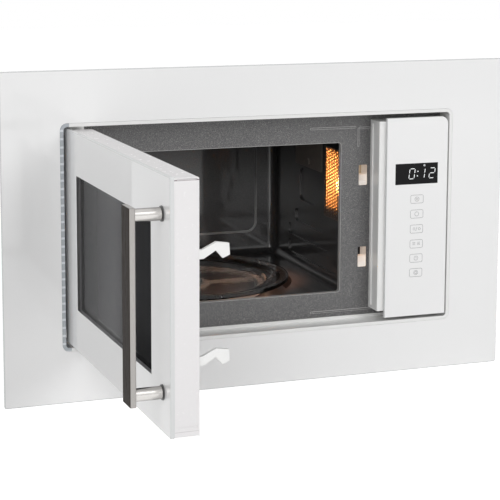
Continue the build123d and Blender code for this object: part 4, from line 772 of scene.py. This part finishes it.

# Door frame, cover and bushes: a white moulding with nylon bushes in its hinge bosses, and a dark ring
# that closes the door's back round the steel inner door. On the handle's side, a dark line of painted shadow
# lies under the frame's top edge, and a fainter one lies at its foot.
frame_white = gloss_moulding("frame_moulding", (0.80, 0.785, 0.79), rough=0.26, coat=0.3)
tree, shader = shader_of(frame_white)
u, depth, v = axes(tree, pin, swung)
handle_side = ramp(tree, u, 0.1352 - pin[0], 0.1354 - pin[0])
# Painted shadow: thin dark lines under the top edge and at the foot, on the handle's side.
painted_top_shadow = inside(tree, depth, v, (0.0065, 0.2969), (0.0130, 0.0005), radius=0.0002)
painted_foot_shadow = inside(tree, depth, v, (0.0065, 0.06945), (0.0130, 0.00025), radius=0.0001)
either = calc(tree, "MAXIMUM", painted_top_shadow, calc(tree, "MULTIPLY", painted_foot_shadow, 0.35))
lines = calc(tree, "MULTIPLY", handle_side, either)
tint(tree, shader, calc(tree, "MULTIPLY", lines, 0.9), (0.20, 0.15, 0.17))
dress("door_frame", frame_white)
dark_ring = finish("ring_moulding", (0.10, 0.095, 0.095), rough=0.35, grain=900.0, spread=0.1, bump=0.00002)
dress("door_cover", dark_ring)
dress("hinge_bushes", finish("nylon", (0.72, 0.72, 0.68), grain=900.0))

# Inner door: dark painted steel pan, on pillars of the door's frame.
# Its middle is the viewing screen, with fine round holes in rows, each second row half a step along.
pan_paint, tree, shader = material("pan_paint")
u, depth, v = axes(tree, pin, swung)
hole_pitch, row_share = 0.0026, 0.866
row = calc(tree, "DIVIDE", v, hole_pitch * row_share)
half_step = calc(tree, "MULTIPLY", calc(tree, "MODULO", calc(tree, "FLOOR", row), 2.0), 0.5)
column = calc(tree, "ADD", calc(tree, "DIVIDE", u, hole_pitch), half_step)
off_u = calc(tree, "SUBTRACT", calc(tree, "FRACT", column), 0.5)
off_v = calc(tree, "MULTIPLY", calc(tree, "SUBTRACT", calc(tree, "FRACT", row), 0.5), row_share)
hole = ramp(tree, length(tree, off_u, off_v), 0.34, 0.28)
screen_mid, screen_half = (-0.0378 - pin[0], 0.182), (0.140, 0.084)
screen = inside(tree, u, v, screen_mid, screen_half, radius=0.004)
open_share = calc(tree, "MULTIPLY", hole, screen)
paint = blend(tree, noise(tree, 800.0), (0.018, 0.018, 0.019), (0.026, 0.026, 0.027))
feed(tree, shader, {"Base Color": blend(tree, open_share, paint, (0.16, 0.16, 0.165)), "Roughness": 0.4})
through = add(tree, "BsdfTransparent").outputs[0]
half_open = calc(tree, "MULTIPLY", open_share, 0.5)
either = add(tree, "MixShader", {0: half_open, 1: shader.outputs[0], 2: through}).outputs[0]
feed(tree, tree.nodes["Material Output"], {"Surface": either})
dress("door_pan", pan_paint)

# Film: thin clear sheet with a slight ripple.
# It covers the viewing screen on the oven side.
film, tree, shader = material("clear_film")
clear = add(tree, "BsdfTransparent", {"Color": (0.85, 0.85, 0.86, 1)}).outputs[0]
ripple = calc(tree, "MULTIPLY_ADD", noise(tree, 30.0), 0.04, 0.03)
sheen = add(tree, "BsdfGlossy", {"Roughness": ripple}).outputs[0]
fresnel = add(tree, "Fresnel", {"IOR": 1.45}).outputs[0]
sheet = add(tree, "MixShader", {0: fresnel, 1: clear, 2: sheen}).outputs[0]
feed(tree, tree.nodes["Material Output"], {"Surface": sheet})
dress("door_film", film)


# Handle: brushed stainless bar on two satin posts, with dark rings between them and the glass.
# The bar's flat front is nearly black, and the posts are painted darker towards their outlines as shade.
def brushed(name, colour, rough, stretch):
    """Brushed metal: noise drawn out along one direction, which shifts colour, gloss and height."""
    made, tree, shader = material(name)
    streak = noise(tree, 3500.0, 2.0, stretch)
    feed(tree, shader, {
        "Base Color": blend(tree, streak, tuple(c * 0.8 for c in colour), colour),
        "Roughness": calc(tree, "MULTIPLY_ADD", streak, 0.12, rough - 0.06),
        "Metallic": 1.0,
    })
    emboss(tree, shader, streak, 0.000015)
    return made, tree, shader


bar_steel, tree, shader = brushed("bar_steel", (0.38, 0.365, 0.35), 0.28, stretch=(1, 1, 50))
u, depth, v = axes(tree, pin, swung)
front = ramp(tree, depth, -0.0422, -0.0418, 1.0, 0.0)
tint(tree, shader, front, (0.036, 0.029, 0.025))
feed(tree, shader, {
    "Metallic": calc(tree, "MULTIPLY_ADD", front, -1.0, 1.0),
    "Specular IOR Level": calc(tree, "MULTIPLY_ADD", front, -0.49, 0.5),
})
dress("handle_bar", bar_steel)
post_steel, tree, shader = brushed("post_steel", (0.66, 0.64, 0.62), 0.22, stretch=(50, 1, 1))
# Painted shade: the posts' colour darkens where their surface turns away towards the outline.
turned_away = add(tree, "LayerWeight", {"Blend": 0.5}).outputs["Facing"]
tint(tree, shader, ramp(tree, turned_away, 0.35, 0.85, 0.0, 0.9), (0.09, 0.08, 0.075))
dress("handle_posts", post_steel)
dress("handle_washers", finish("ring_dark", (0.10, 0.10, 0.10), grain=900.0, spread=0.2))

# Latch: white moulded slider with both hooks, in guides inside the door's free edge.
# A steel spring pulls it down.
dress("latch_lever", finish("latch_moulding", (0.86, 0.86, 0.85), rough=0.3, spread=0.02, bump=0.00001))
spring_steel = finish("spring_steel", (0.55, 0.55, 0.55), rough=0.25, metal=1.0, grain=1500.0, spread=0.08)
dress("latch_spring", spring_steel)

low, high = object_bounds()
